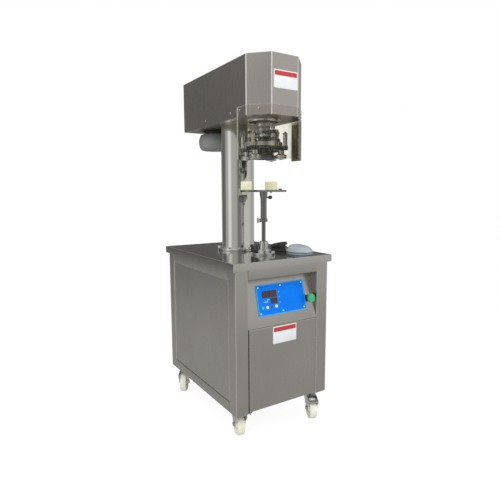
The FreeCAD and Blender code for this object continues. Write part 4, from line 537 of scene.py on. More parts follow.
# %% Cord
CORD_DIAMETER = 6.0
COIL_CENTRE = np.array([168.0, -74.0])
lead_points = [(205, 2, 786), (202.6, -10.4, 784.2), (195.3, -21.3, 783.3), (184.4, -29, 783.3),
               (173, -34.4, 783.4)]
tail_points = [(126.2, -86, 784.6), (123.6, -101, 783.5), (119.5, -117, 783.3), (116.5, -134, 783.3),
               (115.5, -151, 783.4), (117.4, -168, 785), (121.2, -186, 787)]
TURN_KEYS = np.array([98, 458, 520, 1640, 1760, 2250, 2560, 2660, 2700])
RADIUS_KEYS = np.array([37.0, 31.0, 30.6, 30.6, 37.2, 37.6, 37.8, 39.2, 41.6])
HEIGHT_KEYS = np.array([783.4, 783.4, 784.6, 804.0, 804.4, 796.0, 790.4, 788.6, 786.8])
turn = np.arange(98 + 14, 2700, 24.0)
loose = np.interp(turn, [500, 1640, 2200, 2560], [0, 1, 1, 0])
tilt = loose * (3.0 + 6.0 * np.sin(np.radians(turn) + 2.11))
wander = 1.6 + 2.4 * np.sin(np.radians(turn) * 0.37 + 1.0)
coil_radius = np.interp(turn, TURN_KEYS, RADIUS_KEYS) + loose * np.where(turn > 1700, wander, 0.2 * wander)
coil_points = np.column_stack([COIL_CENTRE[0] + coil_radius * np.cos(np.radians(turn)),
                               COIL_CENTRE[1] + coil_radius * np.sin(np.radians(turn)),
                               np.interp(turn, TURN_KEYS, HEIGHT_KEYS) + tilt])
route = np.vstack([lead_points, coil_points, tail_points]) / 1000.0

line = bpy.data.curves.new("pedal_cord", "CURVE")
line.dimensions = "3D"
spline = line.splines.new("NURBS")
spline.points.add(len(route) - 1)
spline.points.foreach_set("co", np.column_stack([route, np.ones(len(route))]).ravel())
spline.order_u = 3
spline.use_endpoint_u = True
line.resolution_u = 8
line.bevel_depth = CORD_DIAMETER / 2000.0
line.bevel_resolution = 5
line.use_fill_caps = True
line.materials.append(cord_black)
cord = shown("pedal_cord", line)
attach(cord, "cabinet")
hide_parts("cord_lead", "cord_coil", "cord_tail")

# %% [markdown]
# A copy of the line without its thickness becomes a mesh of short straight steps, and the points
# of these steps are read into an array.

# %% Points along the cord
bare = line.copy()
bare.bevel_depth = 0
probe = bpy.data.objects.new("cord_probe", bare)
followed = bpy.data.meshes.new_from_object(probe)
along = np.empty(len(followed.vertices) * 3)
followed.vertices.foreach_get("co", along)
bpy.data.objects.remove(probe)
bpy.data.meshes.remove(followed)
bpy.data.curves.remove(bare)

# %% [markdown]
# ## The cabinet
# Four corner tubes stand at the corners. Each is a folded sheet, so its vertical edges are round
# and catch a thin line of light, and a painted highlight runs along them too. Side panels sit a little
# back between them, which, with a painted highlight along their rims, makes the fine bright outline.

# %% Corner posts and rails
HALF_X, HALF_Y = 244.0, 347.0
POST = 61.0
BOTTOM, TABLE = 128.0, 780.0
WALL = 2.0
POST_PROFILE = [(0, BOTTOM), (0, TABLE - 3), (WALL, TABLE - 3), (WALL, BOTTOM)]
for end, low_y in (("front", -HALF_Y), ("rear", HALF_Y - POST)):
    for side, low_x in (("left", -HALF_X), ("right", HALF_X - POST)):
        post = folded("post_%s_%s" % (end, side), rectangle(low_x, low_y, low_x + POST, low_y + POST),
                      POST_PROFILE, 3.2, sheet_upright, "cabinet", loop=True)
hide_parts("cabinet_frame")
post_inner_x, post_inner_y = HALF_X - POST, HALF_Y - POST

X_AXES = np.column_stack([(0, 1, 0), (0, 0, 1), (1, 0, 0)])
Y_AXES = np.column_stack([(1, 0, 0), (0, 0, 1), (0, 1, 0)])


def channel(side, web, low, flange, high, reach):
    """Section of a folded rail: a web on the outside with flanges that turn inwards."""
    section = [(0, low), (WALL, low), (WALL, flange), (reach, flange), (reach, flange + WALL),
               (WALL, flange + WALL), (WALL, high - WALL), (30, high - WALL), (30, high), (0, high)]
    if flange == low:
        section = section[:1] + section[3:]
    return np.array([(side * (web - inwards), height) for inwards, height in section])


def rail(name, along, side, low, flange, high, reach=30):
    """Folded rail between two corner posts, along x or along y."""
    web, half, axes, finish = {"x": (HALF_Y, post_inner_x, X_AXES, sheet_along_x),
                               "y": (HALF_X, post_inner_y, Y_AXES, sheet_along_y)}[along]
    bar(name, channel(side, web, low, flange, high, reach), -half, half, finish, "cabinet",
        (axes, (0, 0, 0)))


TOP_RAIL, SILL = (706, 706, TABLE - 3), (BOTTOM, 131, 173)
for name, side in (("left", -1), ("right", 1)):
    rail("top_rail_" + name, "y", side, *TOP_RAIL)
    rail("sill_" + name, "y", side, *SILL)
rail("top_rail_front", "x", -1, *TOP_RAIL, reach=56)
rail("top_rail_rear", "x", 1, *TOP_RAIL)
rail("sill_rear", "x", 1, *SILL)

# %% [markdown]
# A panel is a shallow tray: a flat face with its rim folded back. The same helper makes the side
# panels, the door and the table, each with its own place in space.

# %% Panels, door and table
LEFT_FACE = np.column_stack([(0, -1, 0), (0, 0, 1), (-1, 0, 0)])
RIGHT_FACE = np.column_stack([(0, 1, 0), (0, 0, 1), (1, 0, 0)])
FRONT_FACE = np.column_stack([(1, 0, 0), (0, 0, 1), (0, -1, 0)])


def rolled_edge(fold, top):
    """Quarter circle over the edge of a face: fold (1 - cos a) inwards, top - fold (1 - sin a) up."""
    arc = np.radians(np.linspace(0, 90, 6))
    return np.column_stack([fold * (1 - np.cos(arc)), top - fold * (1 - np.sin(arc))])


def tray_profile(depth, wall=WALL, fold=2.4):
    """From the inside of the face round the rim to the outside of the face."""
    return np.vstack([[(wall, depth - wall), (wall, 0), (0, 0)], rolled_edge(fold, depth)])


PANEL_DEPTH, DOOR_DEPTH, TABLE_DEPTH = 15, 18, 32
SET_BACK = 3
# the second number of each rim is the strength of the painted highlight on the outer edge
for name, axes, side in (("side_panel_left", LEFT_FACE, -1), ("side_panel_right", RIGHT_FACE, 1)):
    side_panel = folded(name, rectangle(-285.5, 173.5, 285.5, 705.5), tray_profile(PANEL_DEPTH), 3, sheet_upright,
                        "cabinet", place=(axes, (side * (HALF_X - SET_BACK - PANEL_DEPTH), 0, 0)),
                        rim=(3.2, 1.0))
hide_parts("side_panels")

door = folded("door_leaf", rectangle(-179, 133, 181, 493.4), tray_profile(DOOR_DEPTH), 2.6, sheet_upright,
              "front_door", place=(FRONT_FACE, (0, DOOR_DEPTH - HALF_Y, 0)), rim=(1.5, 0.25))
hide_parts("front_door")

TABLE_X, TABLE_Y = 258.0, 361.0
table = folded("table_sheet", rectangle(-TABLE_X, -TABLE_Y, TABLE_X, TABLE_Y),
               tray_profile(TABLE_DEPTH, 3.0, 3.4), 5.0, sheet_top, "cabinet", steps=6,
               place=(np.eye(3), (0, 0, TABLE - TABLE_DEPTH)), rim=(1.5, 0.6))
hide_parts("tabletop")
for name in ("rear_panel", "floor_pan", "door_fittings"):
    eased(name, inner_shade_steel if name == "floor_pan" else sheet_upright)

# %% [markdown]
# ## The control front
# The middle of the front leans back by 14 degrees under the top rail. Everything on it is placed in
# its own axes: across, up the slope, and out of the face.

# %% Sloping front
FASCIA_LOW, RISE, LEAN, LEDGE = 494.0, 212.0, 54.0, 20.0
SLOPE = math.atan(LEAN / RISE)
SLOPE_AXES = np.column_stack([(1, 0, 0), (0, math.sin(SLOPE), math.cos(SLOPE)),
                              (0, -math.cos(SLOPE), math.sin(SLOPE))])
ON_SLOPE = (SLOPE_AXES, (0, -HALF_Y, FASCIA_LOW))
sheet_depth = WALL / math.cos(SLOPE)
front_section = [(-HALF_Y, FASCIA_LOW), (LEDGE - HALF_Y, FASCIA_LOW), (LEDGE - HALF_Y, FASCIA_LOW + WALL),
                 (-HALF_Y + sheet_depth + WALL * LEAN / RISE, FASCIA_LOW + WALL),
                 (LEAN - HALF_Y + sheet_depth, FASCIA_LOW + RISE), (LEAN - HALF_Y, FASCIA_LOW + RISE)]
fascia = bar("control_fascia_sheet", front_section, -182.7, 182.7, sheet_upright, "cabinet",
             (X_AXES, (0, 0, 0)), fold=1.6)
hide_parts("control_fascia")


# %% [markdown]
# The panel is a thin plate with a paler rim. Its screws, keys and markers are low turned heads. The
# two displays show figures of seven bars each, unlit, as on a machine that is switched off.

# %% Control panel
def plate(name, low, high, base, top, corner, material, body="cabinet", place=ON_SLOPE,
          ease=0.5):
    """Thin plate with round corners and an eased upper edge, between two distances out of a face."""
    profile = [(0, base), (0, top - ease), (ease * 0.3, top - ease * 0.3), (ease, top)]
    return folded(name, rectangle(*low, *high), profile, corner, material, body, place=place)


blue = plate("panel_plate", (-123.5, 46), (131.5, 180), 0.05, 3.0, 5, panel_rim_blue)
plate("panel_face", (-118.5, 51), (126.5, 175), 2.9, 3.25, 3.5, panel_blue, ease=0.15)
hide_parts("control_panel")


def on_face(place, across, rise, out=0.0):
    """Point of a face in world axes."""
    return np.asarray(place[1], float) + np.asarray(place[0]) @ (across, rise, out)


def stud(name, across, rise, radius, base, top, material, slot="control_panel", dome=0.4, place=ON_SLOPE):
    """Small round head: a cylinder whose top is a shallow dome."""
    bend = np.radians(np.linspace(0, 90, 6))
    crown = np.column_stack([radius * np.cos(bend), top - radius * dome + radius * dome * np.sin(bend)])
    profile = np.vstack([[(0, base), (radius, base)], crown])
    return turned(name, profile, on_face(place, across, rise), material, "cabinet", segments=32,
                  axes=np.asarray(place[0]), ease=0.05)


for row, rise in enumerate((168, 58)):
    for column, across in enumerate((-112, 4, 120)):
        stud("panel_screw_%d" % (3 * row + column), across, rise, 3.5, 3.0, 4.9, key_white)
for index, (across, colour) in enumerate(((-99, key_green), (-76, key_white), (-53, key_plum), (-29, key_white))):
    stud("panel_key_%d" % index, across, 81, 6.6, 3.1, 5.0, colour, dome=0.2)
plate("display_upper", (-97, 122), (-20, 152), 3.1, 4.1, 1.5, window_dark)
plate("display_lower", (-56, 94), (-20, 119), 3.1, 4.1, 1.5, window_dark)


# %% Display figures
def display_figure(name, left, low, width, height):
    """A figure eight of seven thin bars: three across and four upright."""
    thick = width * 0.17
    middle = low + height / 2
    across = [(left + thick, at) for at in (low, middle, low + height)]
    upright = [(left + side * width, at) for side in (0, 1) for at in (low, middle)]
    for index, (x, y) in enumerate(across):
        plate("%s_across_%d" % (name, index), (x, y - thick / 2), (x + width - 2 * thick, y + thick / 2),
              4.05, 4.25, thick * 0.3, digit_red, ease=0.1)
    for index, (x, y) in enumerate(upright):
        plate("%s_upright_%d" % (name, index), (x - thick / 2, y + thick * 0.7),
              (x + thick / 2, y + height / 2 - thick * 0.7), 4.05, 4.25, thick * 0.3, digit_red, ease=0.1)


for index in range(4):
    display_figure("upper_figure_%d" % index, -91 + 18.5 * index, 128, 10, 18)
for index in range(2):
    display_figure("lower_figure_%d" % index, -51 + 16 * index, 98.5, 9, 15)
for index, rise in enumerate((141, 119, 96)):
    stud("panel_marker_%d" % index, -8, rise, 1.7, 3.1, 3.9, key_white)
for index, (low, high) in enumerate((((-75, 112), (-62, 114)), ((-92, 104), (-70, 106)))):
    plate("panel_line_%d" % index, low, high, 3.2, 3.4, 0.5, key_white, ease=0.1)
stud("pilot_dot", 121.5 + 19, 112, 3.2, 0.05, 2.4, key_white, dome=0.6)

# %% [markdown]
# The start button is a green mushroom on a black collar. Its head is one turned profile, so it
# moves as one piece when it is pressed.

# %% Start button
BUTTON = (149.0, 92.0)
stud("button_bezel_base", *BUTTON, 15.4, 0.05, 2.0, black_plastic, dome=0.05)
button_place = on_face(ON_SLOPE, *BUTTON)
turned("button_bezel", [(9.1, 0.05), (15, 0.05), (15, 7.2), (12.5, 12), (9.1, 12)], button_place,
       black_plastic, "cabinet", loop=True, axes=SLOPE_AXES)
bend = np.radians(np.linspace(0, 90, 9))
head = np.column_stack([14 + 6 * np.cos(bend), 27.4 + 3.6 * np.sin(bend)])
mushroom = np.vstack([[(0, -4), (9, -4), (9, 18), (16, 18), (20, 21.5)], head, [(6, 31.5), (0, 31.6)]])
button = turned("mushroom_button", mushroom, button_place, button_green, "start_button",
                axes=SLOPE_AXES, ease=0.8)
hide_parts("start_button")
turned("button_contacts", [(0, -40), (13, -40), (13, -0.2), (9.1, -0.2), (9.1, -12), (0, -12)], button_place,
       black_plastic, "cabinet", axes=SLOPE_AXES)

# %% [markdown]
# ## The column
# The column is a polished tube on a bolted flange. Its bright and dark streaks are reflections, so
# the tube itself stays plain. The weld bead at its foot is a ring with small ripples.

# %% Column
COLUMN_Y, COLUMN_TOP, FLANGE_TOP = 40.0, 1431, 792
COLUMN_PROFILE = [(76.5, TABLE), (103, TABLE), (103, FLANGE_TOP - 1.5), (101.5, FLANGE_TOP), (79.5, FLANGE_TOP),
                  (79.5, COLUMN_TOP), (76.5, COLUMN_TOP)]
column = turned("column_tube", COLUMN_PROFILE, (0, COLUMN_Y, 0), column_steel, "cabinet",
                segments=160, loop=True, ease=0.8)
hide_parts("column")
around = np.linspace(0, 2 * np.pi, 360, endpoint=False)
section = np.linspace(0, 2 * np.pi, 12, endpoint=False)[:, None]
bead = 2.6 + 0.35 * np.sin(around * 90)
ring = 80.6 + bead * np.cos(section)
piece("column_weld", np.stack([ring * np.cos(around), COLUMN_Y + ring * np.sin(around),
                               793.0 + bead * np.sin(section)], -1), bright, "cabinet",
      wrap_rows=True, wrap_columns=True, sharp=60)
eased("flange_bolts", bright, 0.5)

# %% [markdown]
# ## The hood
# One sheet wraps the whole head: six walls, of which two cut the front corners at 45 degrees, a
# flat top, and a narrow lip underneath. The upright folds have a radius of 8 mm and the top edge one
# of about 3 mm, and each upright fold carries a painted highlight that shows as a bright line.

# %% Hood
def mirrored(left):
    """The left half of a path and its mirror image, from left to right."""
    return left + [(-x, y) for x, y in reversed(left)]


HOOD = np.array(mirrored([(-142, 350), (-142, -270), (-67, -345)]), float)
HOOD_LOW, HOOD_TOP, LIP = 1373, 1613, 28
hood_profile = np.vstack([[(WALL, HOOD_TOP - WALL), (WALL, HOOD_LOW + WALL), (LIP, HOOD_LOW + WALL), (LIP, HOOD_LOW),
                           (0, HOOD_LOW)], rolled_edge(2.6, HOOD_TOP)])
hood = folded("hood_sheet", HOOD, hood_profile, 8.0, hood_steel, "cabinet", steps=6, rim=(1.5, 0.5))
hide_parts("hood_shell")


# %% [markdown]
# The floor of the hood is a flat sheet with three round holes, for the head, the column and the
# motor. Flat curves make it: an outline and three circles, filled between them.

# %% Floor of the hood
def pierced(name, outline, holes, low, high, material, body):
    """Flat sheet with round holes, each (x, y, radius): closed outlines, filled and given a thickness."""
    turn = np.linspace(0, 2 * np.pi, 96, endpoint=False)
    flat = bpy.data.curves.new(name, "CURVE")
    flat.dimensions, flat.fill_mode, flat.extrude = "2D", "BOTH", (high - low) / 2000.0
    for loop in [outline] + [np.column_stack([x + r * np.cos(turn), y + r * np.sin(turn)]) for x, y, r in holes]:
        spline = flat.splines.new("POLY")
        spline.points.add(len(loop) - 1)
        spline.points.foreach_set("co", np.column_stack([np.asarray(loop) / 1000.0, np.zeros(len(loop)),
                                                         np.ones(len(loop))]).ravel())
        spline.use_cyclic_u = True
    holder = bpy.data.objects.new(name + "_outline", flat)
    mesh = bpy.data.meshes.new_from_object(holder)
    points = np.empty(len(mesh.vertices) * 3)
    mesh.vertices.foreach_get("co", points)
    faces = [list(polygon.vertices) for polygon in mesh.polygons]
    bpy.data.objects.remove(holder)
    bpy.data.meshes.remove(mesh)
    bpy.data.curves.remove(flat)
    return finished(name, points.reshape(-1, 3) * 1000.0 + (0, 0, (low + high) / 2), faces, material, body)


AXIS_Y, MOTOR_Y = -187.0, 255.0
# the floor's darker olive steel is a painted reflection of the dim surroundings below
pierced("hood_floor", inset(HOOD, np.array([26.0]))[0], [(0, AXIS_Y, 68), (0, COLUMN_Y, 80.6), (0, MOTOR_Y, 66)],
        1373.4, 1374.8, underside_shade_steel, "cabinet")
HEAD_RIM = [(66.6, 1364.5), (68.2, 1363.4), (69.8, 1364.5), (69.8, 1371.4), (72.5, 1373.35), (72.5, 1374.9),
            (66.6, 1374.9)]
turned("hood_head_rim", HEAD_RIM, (0, AXIS_Y, 0), bright, "cabinet", loop=True)
eased("head_plate", inner_shade_steel)


# %% [markdown]
# Pan heads hold the walls of the hood. Each stands square to its own wall.

# %% Screws of the hood
def pan_head(name, point, outwards):
    """Screw head on a wall, its axis along the wall's outward direction."""
    outwards = np.asarray(outwards, float) / np.linalg.norm(outwards)
    side = np.cross((0, 0, 1), outwards)
    stud(name, 0, 0, 4.5, -0.3, 2.6, bright, "stainless", dome=0.45,
         place=(np.column_stack([side, (0, 0, 1), outwards]), point))


for index, (along_y, stand) in enumerate(((98, 142), (-142, 142), (-223, 145.3))):
    pan_head("hood_screw_left_%d" % index, (-stand, along_y, 1398), (-1, 0, 0))
    pan_head("hood_screw_right_%d" % index, (stand, along_y, 1398), (1, 0, 0))
for index, side in enumerate((-1, 1)):
    pan_head("hood_screw_corner_%d" % index, (side * 106.85, -309.85, 1397), (side, -1, 0))
for index, across in enumerate((-100, 0, 100)):
    pan_head("hood_screw_back_%d" % index, (across, 350, 1398), (0, 1, 0))

# %% [markdown]
# The guard is one bent sheet whose top lies close against the hood's front. Its section is the
# outer line and, on the way back, the inner line. Its bends have a larger radius outside.

# %% Guard
OUTER_BEND, INNER_BEND, SAWN_EDGE = 9, 6, 0.4
outer = mirrored([(-145.3, -203), (-145.3, -271.37), (-68.37, -348.3)])
inner = mirrored([(-142.3, -203), (-142.3, -270.12), (-67.12, -345.3)])
guard_bends = [SAWN_EDGE, *[OUTER_BEND] * 4, SAWN_EDGE, SAWN_EDGE, *[INNER_BEND] * 4, SAWN_EDGE]
guard = bar("guard_band", np.array(outer + inner[::-1]), 1200, 1412, acrylic, "cabinet",
            fold=np.array(guard_bends), steps=8)
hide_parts("guard_shield")

# %% [markdown]
# ## Plain plates
# The machine carries two white plates with a red band. They stay bare.

# %% Plates on the hood and on the door
def notice(name, low, high, place, body):
    """White plate with a red band along its top."""
    plate(name + "_ground", low, high, 0.02, 0.35, 2, label_white, body, place, ease=0.1)
    band = high[1] - 0.27 * (high[1] - low[1])
    plate(name + "_band", (low[0] + 4, band - 3), (high[0] - 4, high[1] - 4), 0.3, 0.5, 0.8, label_red,
          body, place, ease=0.05)


notice("hood_plate", (-57, 1477), (63, 1548), (FRONT_FACE, (0, -345, 0)), "cabinet")
notice("door_plate", (-59, 412), (67, 488), (FRONT_FACE, (0, -HALF_Y, 0)), "front_door")

# %% [markdown]
# ## Machined pieces
# Shafts, levers, rollers and plates keep the shape of the CAD model. Each gets an eased copy in the
# finish of its metal.

# %% Eased copies
EASED = {"caster_mounts": zinc, "spindle_housing": machined, "chuck_shaft": bright, "seaming_chuck": dark_steel,
         "turret_disc": bright, "turret_spindle": dark_steel, "seaming_cam": machined,
         "motor_body": motor_paint, "motor_fan_cowl": cowl_grey, "motor_pulley": machined,
         "drive_belts": belt_rubber,
         "lift_base": machined, "lift_rod": rod_steel, "lift_cam": machined, "lift_gearmotor": motor_paint,
         "support_tube": tube_steel, "can_plate": tube_steel, "locating_blocks": nylon,
         "plate_clamp_knob": dark_steel, "height_clamp_screw": bright, "electrical_plate": zinc}
for number in (1, 2, 3, 4):
    EASED["seaming_lever_%d" % number] = lever_steel
    EASED["seaming_roller_%d" % number] = bright
CORNERS = {"front_left": (-1, -1, 75), "front_right": (1, -1, -115),
           "rear_left": (-1, 1, 236), "rear_right": (1, 1, -56)}
for corner in CORNERS:
    EASED["caster_fork_" + corner] = zinc
for side in ("left", "right"):
    EASED["caster_brake_front_" + side] = zinc
for node, material in EASED.items():
    eased(node, material, 1.2 if node == "locating_blocks" else 0.4)
print(len(EASED), "eased pieces")

# %% [markdown]
# The head is full of small fasteners. A nut is a six-sided outline with a profile that breaks its
# corners, and a spring is a circle carried along a helix.

# %% Nuts and springs
PIVOT_CIRCLE = 72.0


def about_z(angle):
    """Axes turned by an angle about z."""
    return np.array([(math.cos(angle), -math.sin(angle), 0), (math.sin(angle), math.cos(angle), 0), (0, 0, 1)])


def nut(name, point, radius, height, material, body, axes=np.eye(3)):
    """Hexagon with both rims broken."""
    angle = np.radians(30 + 60 * np.arange(6))
    outline = np.column_stack([radius * np.cos(angle), radius * np.sin(angle)])
    profile = [(radius * 0.1, 0), (0, radius * 0.1), (0, height - radius * 0.12), (radius * 0.14, height)]
    return folded(name, outline, profile, 0.5, material, body, steps=2, place=(axes, point))


def spring(name, centre, radius, wire, low, high, turns, material, body):
    """Tube round a helix (R cos t, R sin t, h t), its section in the radial and upward directions."""
    turn = np.linspace(0, 2 * np.pi * turns, int(turns * 28))[:, None]
    section = np.linspace(0, 2 * np.pi, 8, endpoint=False)[None, :]
    reach = radius + wire * np.cos(section)
    points = np.stack([centre[0] + reach * np.cos(turn), centre[1] + reach * np.sin(turn),
                       low + (high - low) * turn / turn.max() + wire * np.sin(section)], -1)
    return piece(name, points, material, body, wrap_columns=True, capped=True, sharp=60)


LUG_ALONG = np.array([17.0, 10.0]) / math.hypot(17.0, 10.0)
LEVER_POST = [(0, 1257.9), (10.6, 1257.9), (10.6, 1262), (9.2, 1263), (9.2, 1279), (8.2, 1280.5), (8.2, 1283),
              (9.2, 1284.5), (9.2, 1305), (7.4, 1306.5), (0, 1306.5)]
LUG_PROFILE = [(0.6, 1241.4), (0, 1242), (0, 1257.6), (0.6, 1258.2)]
POST_END = [(0, 1313.4), (4.4, 1313.4), (4.4, 1318), (3.4, 1319), (0, 1319)]
for number in (1, 2, 3, 4):
    lever, axes = "seaming_lever_%d" % number, about_z(math.radians(90 * (number - 1)))
    pivot, lug, foot = (np.array([0, AXIS_Y, 0]) + axes @ local
                        for local in ((PIVOT_CIRCLE, 0, 0), (72, 43, 0), (89, 53, 0)))
    nut("lever_nut_%d" % number, pivot + (0, 0, 1332.3), 8.6, 7.5, bright, lever)
    lug_axes = np.column_stack([axes @ (*LUG_ALONG, 0), axes @ (-LUG_ALONG[1], LUG_ALONG[0], 0), (0, 0, 1)])
    folded("lever_lug_%d" % number, rectangle(-6, -11, 31, 11), LUG_PROFILE, 10.5, lever_steel, lever,
           place=(lug_axes, lug))
    turned("lever_post_%d" % number, LEVER_POST, foot, bright, lever, segments=48)
    nut("post_nut_%d" % number, foot + (0, 0, 1306.3), 9.8, 7.5, bright, lever)
    turned("post_end_%d" % number, POST_END, foot, bright, lever, segments=24)
    spring("lever_spring_%d" % number, pivot, 15.4, 1.25, 1278.5, 1297.0, 4.5, dark_steel, "turret")

# %% [markdown]
# The rim of the cam's drum is ribbed. A sine that is cut off at both ends makes flat ribs with
# sloping sides. Six screws hold the housing from below.

# %% Cam drum and housing screws
rib_turn = np.linspace(0, 2 * np.pi, 288, endpoint=False)
ribs = 1.1 * np.clip(3.0 * np.sin(18 * rib_turn), -1, 1)
rib_rows = [(26, 1312.4), (30.2, 1312.4), (31.2, 1313.6), (31.2, 1329.4), (30.2, 1330.6), (26, 1330.6)]
rib_radii = [radius + (ribs if radius > 31 else 0) for radius, _ in rib_rows]
drum_points = np.stack([np.column_stack([radius * np.cos(rib_turn), AXIS_Y + radius * np.sin(rib_turn),
                                         np.full(len(rib_turn), height)])
                        for radius, (_, height) in zip(rib_radii, rib_rows)])
piece("cam_drum_grip", drum_points, machined, "seaming_cam", wrap_rows=True, wrap_columns=True,
      sharp=40)
for index in range(6):
    angle = math.radians(30 + 60 * index)
    nut("housing_screw_%d" % index, (44 * math.cos(angle), AXIS_Y + 44 * math.sin(angle), 1375.9), 5.2, 4.5,
        dark_steel, "cabinet", axes=np.diag([1.0, -1.0, -1.0]))

# %% [markdown]
# ## Casters
# A caster wheel is a turned nylon body. The tread is crowned, the web is thin, and the hub is
# raised. Its profile is mirrored about the middle of the wheel and carried round the axle.

# %% Wheels
WHEEL, TRAIL = 50.0, 33.0
POCKET = [(0, 0), (3.4, 0), (3.4, 0.9), (2.2, 0.9), (0, 0.4)]
HALF_WHEEL = [(5.1, 18.4), (13.6, 18.4), (15.9, 15.6), (16.2, 11), (18, 9.2), (32, 8.3), (35.5, 9.4), (38, 13.6),
              (40, 15.9), (46.6, 15.9), (49.2, 12.6), (49.9, 7)]
for corner, (side_x, side_y, yaw) in CORNERS.items():
    forward = np.array([math.cos(math.radians(yaw)), math.sin(math.radians(yaw)), 0.0])
    axle = np.array([-forward[1], forward[0], 0.0])
    hub = np.array([side_x * 192.0, side_y * 295.0, WHEEL]) + TRAIL * forward
    profile = np.array(HALF_WHEEL)
    both = np.vstack([profile * (1, -1), profile[::-1]])
    wheel = turned("wheel_" + corner, both, hub, wheel_nylon, "wheel_" + corner, loop=True,
                   axes=np.column_stack([forward, (0, 0, 1), axle]), ease=1.2)
    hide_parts("caster_wheel_" + corner)
    for index in range(6):
        angle = math.radians(60 * index)
        spoke = hub + 25.5 * (math.cos(angle) * forward + math.sin(angle) * np.array([0, 0, 1.0]))
        for side in (-1, 1):
            turned("wheel_pocket_%s_%d_%d" % (corner, index, side + 1), POCKET, spoke + side * 8.1 * axle,
                   wheel_nylon, "wheel_" + corner, segments=20,
                   axes=np.column_stack([forward, side * np.array([0, 0, 1.0]), side * axle]), ease=0.2)

# %% [markdown]
# ## The foot pedal
# The foot switch lies on the table. Its cover is a soft-cornered dome: a superellipse in plan and
# another in height, which is flatter on top and steeper at the sides than a plain ellipsoid.

# %% Pedal
PEDAL_PLACE = (about_z(math.radians(-75)), (144.0, -271.0, TABLE))
HALF_LENGTH, HALF_WIDTH = 62.0, 54.0
around = np.linspace(0, 2 * np.pi, 120, endpoint=False)


def power(value, exponent):
    return np.sign(value) * np.abs(value) ** exponent


def superellipse(half_length, half_width, squareness=2.35):
    """Outline |x / a| ** n + |y / b| ** n = 1, followed by the angle."""
    return np.column_stack([half_length * power(np.cos(around), 2 / squareness),
                            half_width * power(np.sin(around), 2 / squareness)])


def rim_height(x):
    """Height of the cover's rim: it falls from the heel to the toe."""
    return np.maximum(17.5 - 4.5 * x / HALF_LENGTH, 14.8)


def crown(shrink, drop, rows=30):
    """Wedge over the outline: the plan shrinks by a share, and the height grows as 1 - share ** 6."""
    share = np.linspace(1, 0, rows)[:, None]
    plan = superellipse(HALF_LENGTH - shrink, HALF_WIDTH - shrink)
    across, along = plan[:, 0] * share, plan[:, 1] * share
    rim = rim_height(across)
    top = 40.0 - 8.0 * across / HALF_LENGTH
    return np.stack([across, along, rim + (top - rim) * (1 - share ** 6) - drop], -1)


outside = crown(2.7, 0.0)
inside = crown(4.4, 3.0)[::-1]
plan = superellipse(HALF_LENGTH, HALF_WIDTH)
rim = rim_height(plan[:, 0])
skirt_rows = [(2.2, 12.0 + 0 * rim), (0.9, 12.0 + 0 * rim), (0.1, 12.4 + 0 * rim), (0.0, 13.2 + 0 * rim),
              (0.0, rim - 1.2), (0.3, rim - 0.4), (1.0, rim), (1.6, rim - 0.1), (2.1, rim - 0.9), (2.5, rim - 0.9)]
skirt = np.stack([np.column_stack([superellipse(HALF_LENGTH - step, HALF_WIDTH - step), height])
                  for step, height in skirt_rows])
treadle = piece("pedal_cover", np.concatenate([inside, skirt, outside]), pedal_grey, "pedal_treadle",
                wrap_columns=True, place=PEDAL_PLACE, sharp=50)
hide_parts("pedal_treadle")


def pedal_slab(name, shrink, rows, material):
    """Low slab under the cover: the outline at several heights, closed below and above."""
    points = np.stack([np.column_stack([superellipse(HALF_LENGTH - shrink - step, HALF_WIDTH - shrink - step),
                                        np.full(len(plan), height)]) for step, height in rows])
    return piece(name, points, material, "cabinet", wrap_columns=True, capped=True,
                 place=PEDAL_PLACE)


FLOOR_STEPS = [(0.8, 1.4), (0, 2.0), (0, 2.6), (8.5, 2.9), (8.5, 8.6), (9.4, 9.4)]
pedal_floor = pedal_slab("pedal_floor", 0.3, FLOOR_STEPS, pedal_grey)
pedal_slab("pedal_foot", 1.6, [(0.4, 0.05), (0, 0.5), (0, 1.5), (1.2, 1.6)], pedal_dark)
pedal_slab("pedal_inner_wall", 12.0, [(0, 9.0), (0, 10.5), (1.5, 11.5)], pedal_dark)
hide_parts("pedal_base")


# %% [markdown]
# The cord leaves the pedal and the table through black glands with ribbed boots. The stop of the
# lift is a small block on the table, with a wider head.

# %% Glands, boots and lift stop
def strain_relief(name, place, length, thick, thin, rings=6):
    """Ribbed boot: a cone whose radius swells at even steps."""
    along = np.linspace(0, length, 60)
    taper = thick + (thin - thick) * along / length
    ribs = 0.45 * np.clip(np.sin(along / length * rings * 2 * np.pi), -0.4, 1)
    profile = np.vstack([[(0, 0)], np.column_stack([taper + ribs, along]), [(0, length)]])
    turned(name, profile, place[1], black_plastic, "cabinet", segments=40, axes=place[0], ease=0.05)


GLAND = (205, 20, TABLE)
GLAND_DOME = [(0, -11), (6.4, -11), (6.4, 0.05), (12, 0.05), (12, 4.6), (9.4, 10.4), (5, 13.8), (0, 14)]
local = PEDAL_PLACE[0]
strain_relief("pedal_boot", (np.column_stack([local[:, 1], local[:, 2], -local[:, 0]]),
                             on_face(PEDAL_PLACE, -HALF_LENGTH + 1.5, 0, 7.0)), 27.3, 5.4, 3.7)
gland = turned("gland_dome", GLAND_DOME, GLAND, black_plastic, "cabinet", segments=64)
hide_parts("cord_gland")
nut("gland_nut", (*GLAND[:2], TABLE + 0.1), 13.2, 4.6, black_plastic, "cabinet")
strain_relief("gland_boot", (np.column_stack([(1, 0, 0), (0, 0, 1), (0, -1, 0)]), (205, 17, 786)),
              15.3, 5.2, 3.6, rings=5)

LIFT_STOP = (np.eye(3), (-33, -163, 0))
folded("lift_stop_block", rectangle(-14, -11, 14, 11), [(0.8, 789.9), (0, 790.7), (0, 819.2), (0.8, 820)], 1.5,
       dark_steel, "cabinet", place=LIFT_STOP)
folded("lift_stop_head", rectangle(-15.5, -12.5, 15.5, 12.5), [(0.8, 819.8), (0, 820.6), (0, 825), (0.8, 825.8)],
       2.0, rod_steel, "cabinet", place=LIFT_STOP)

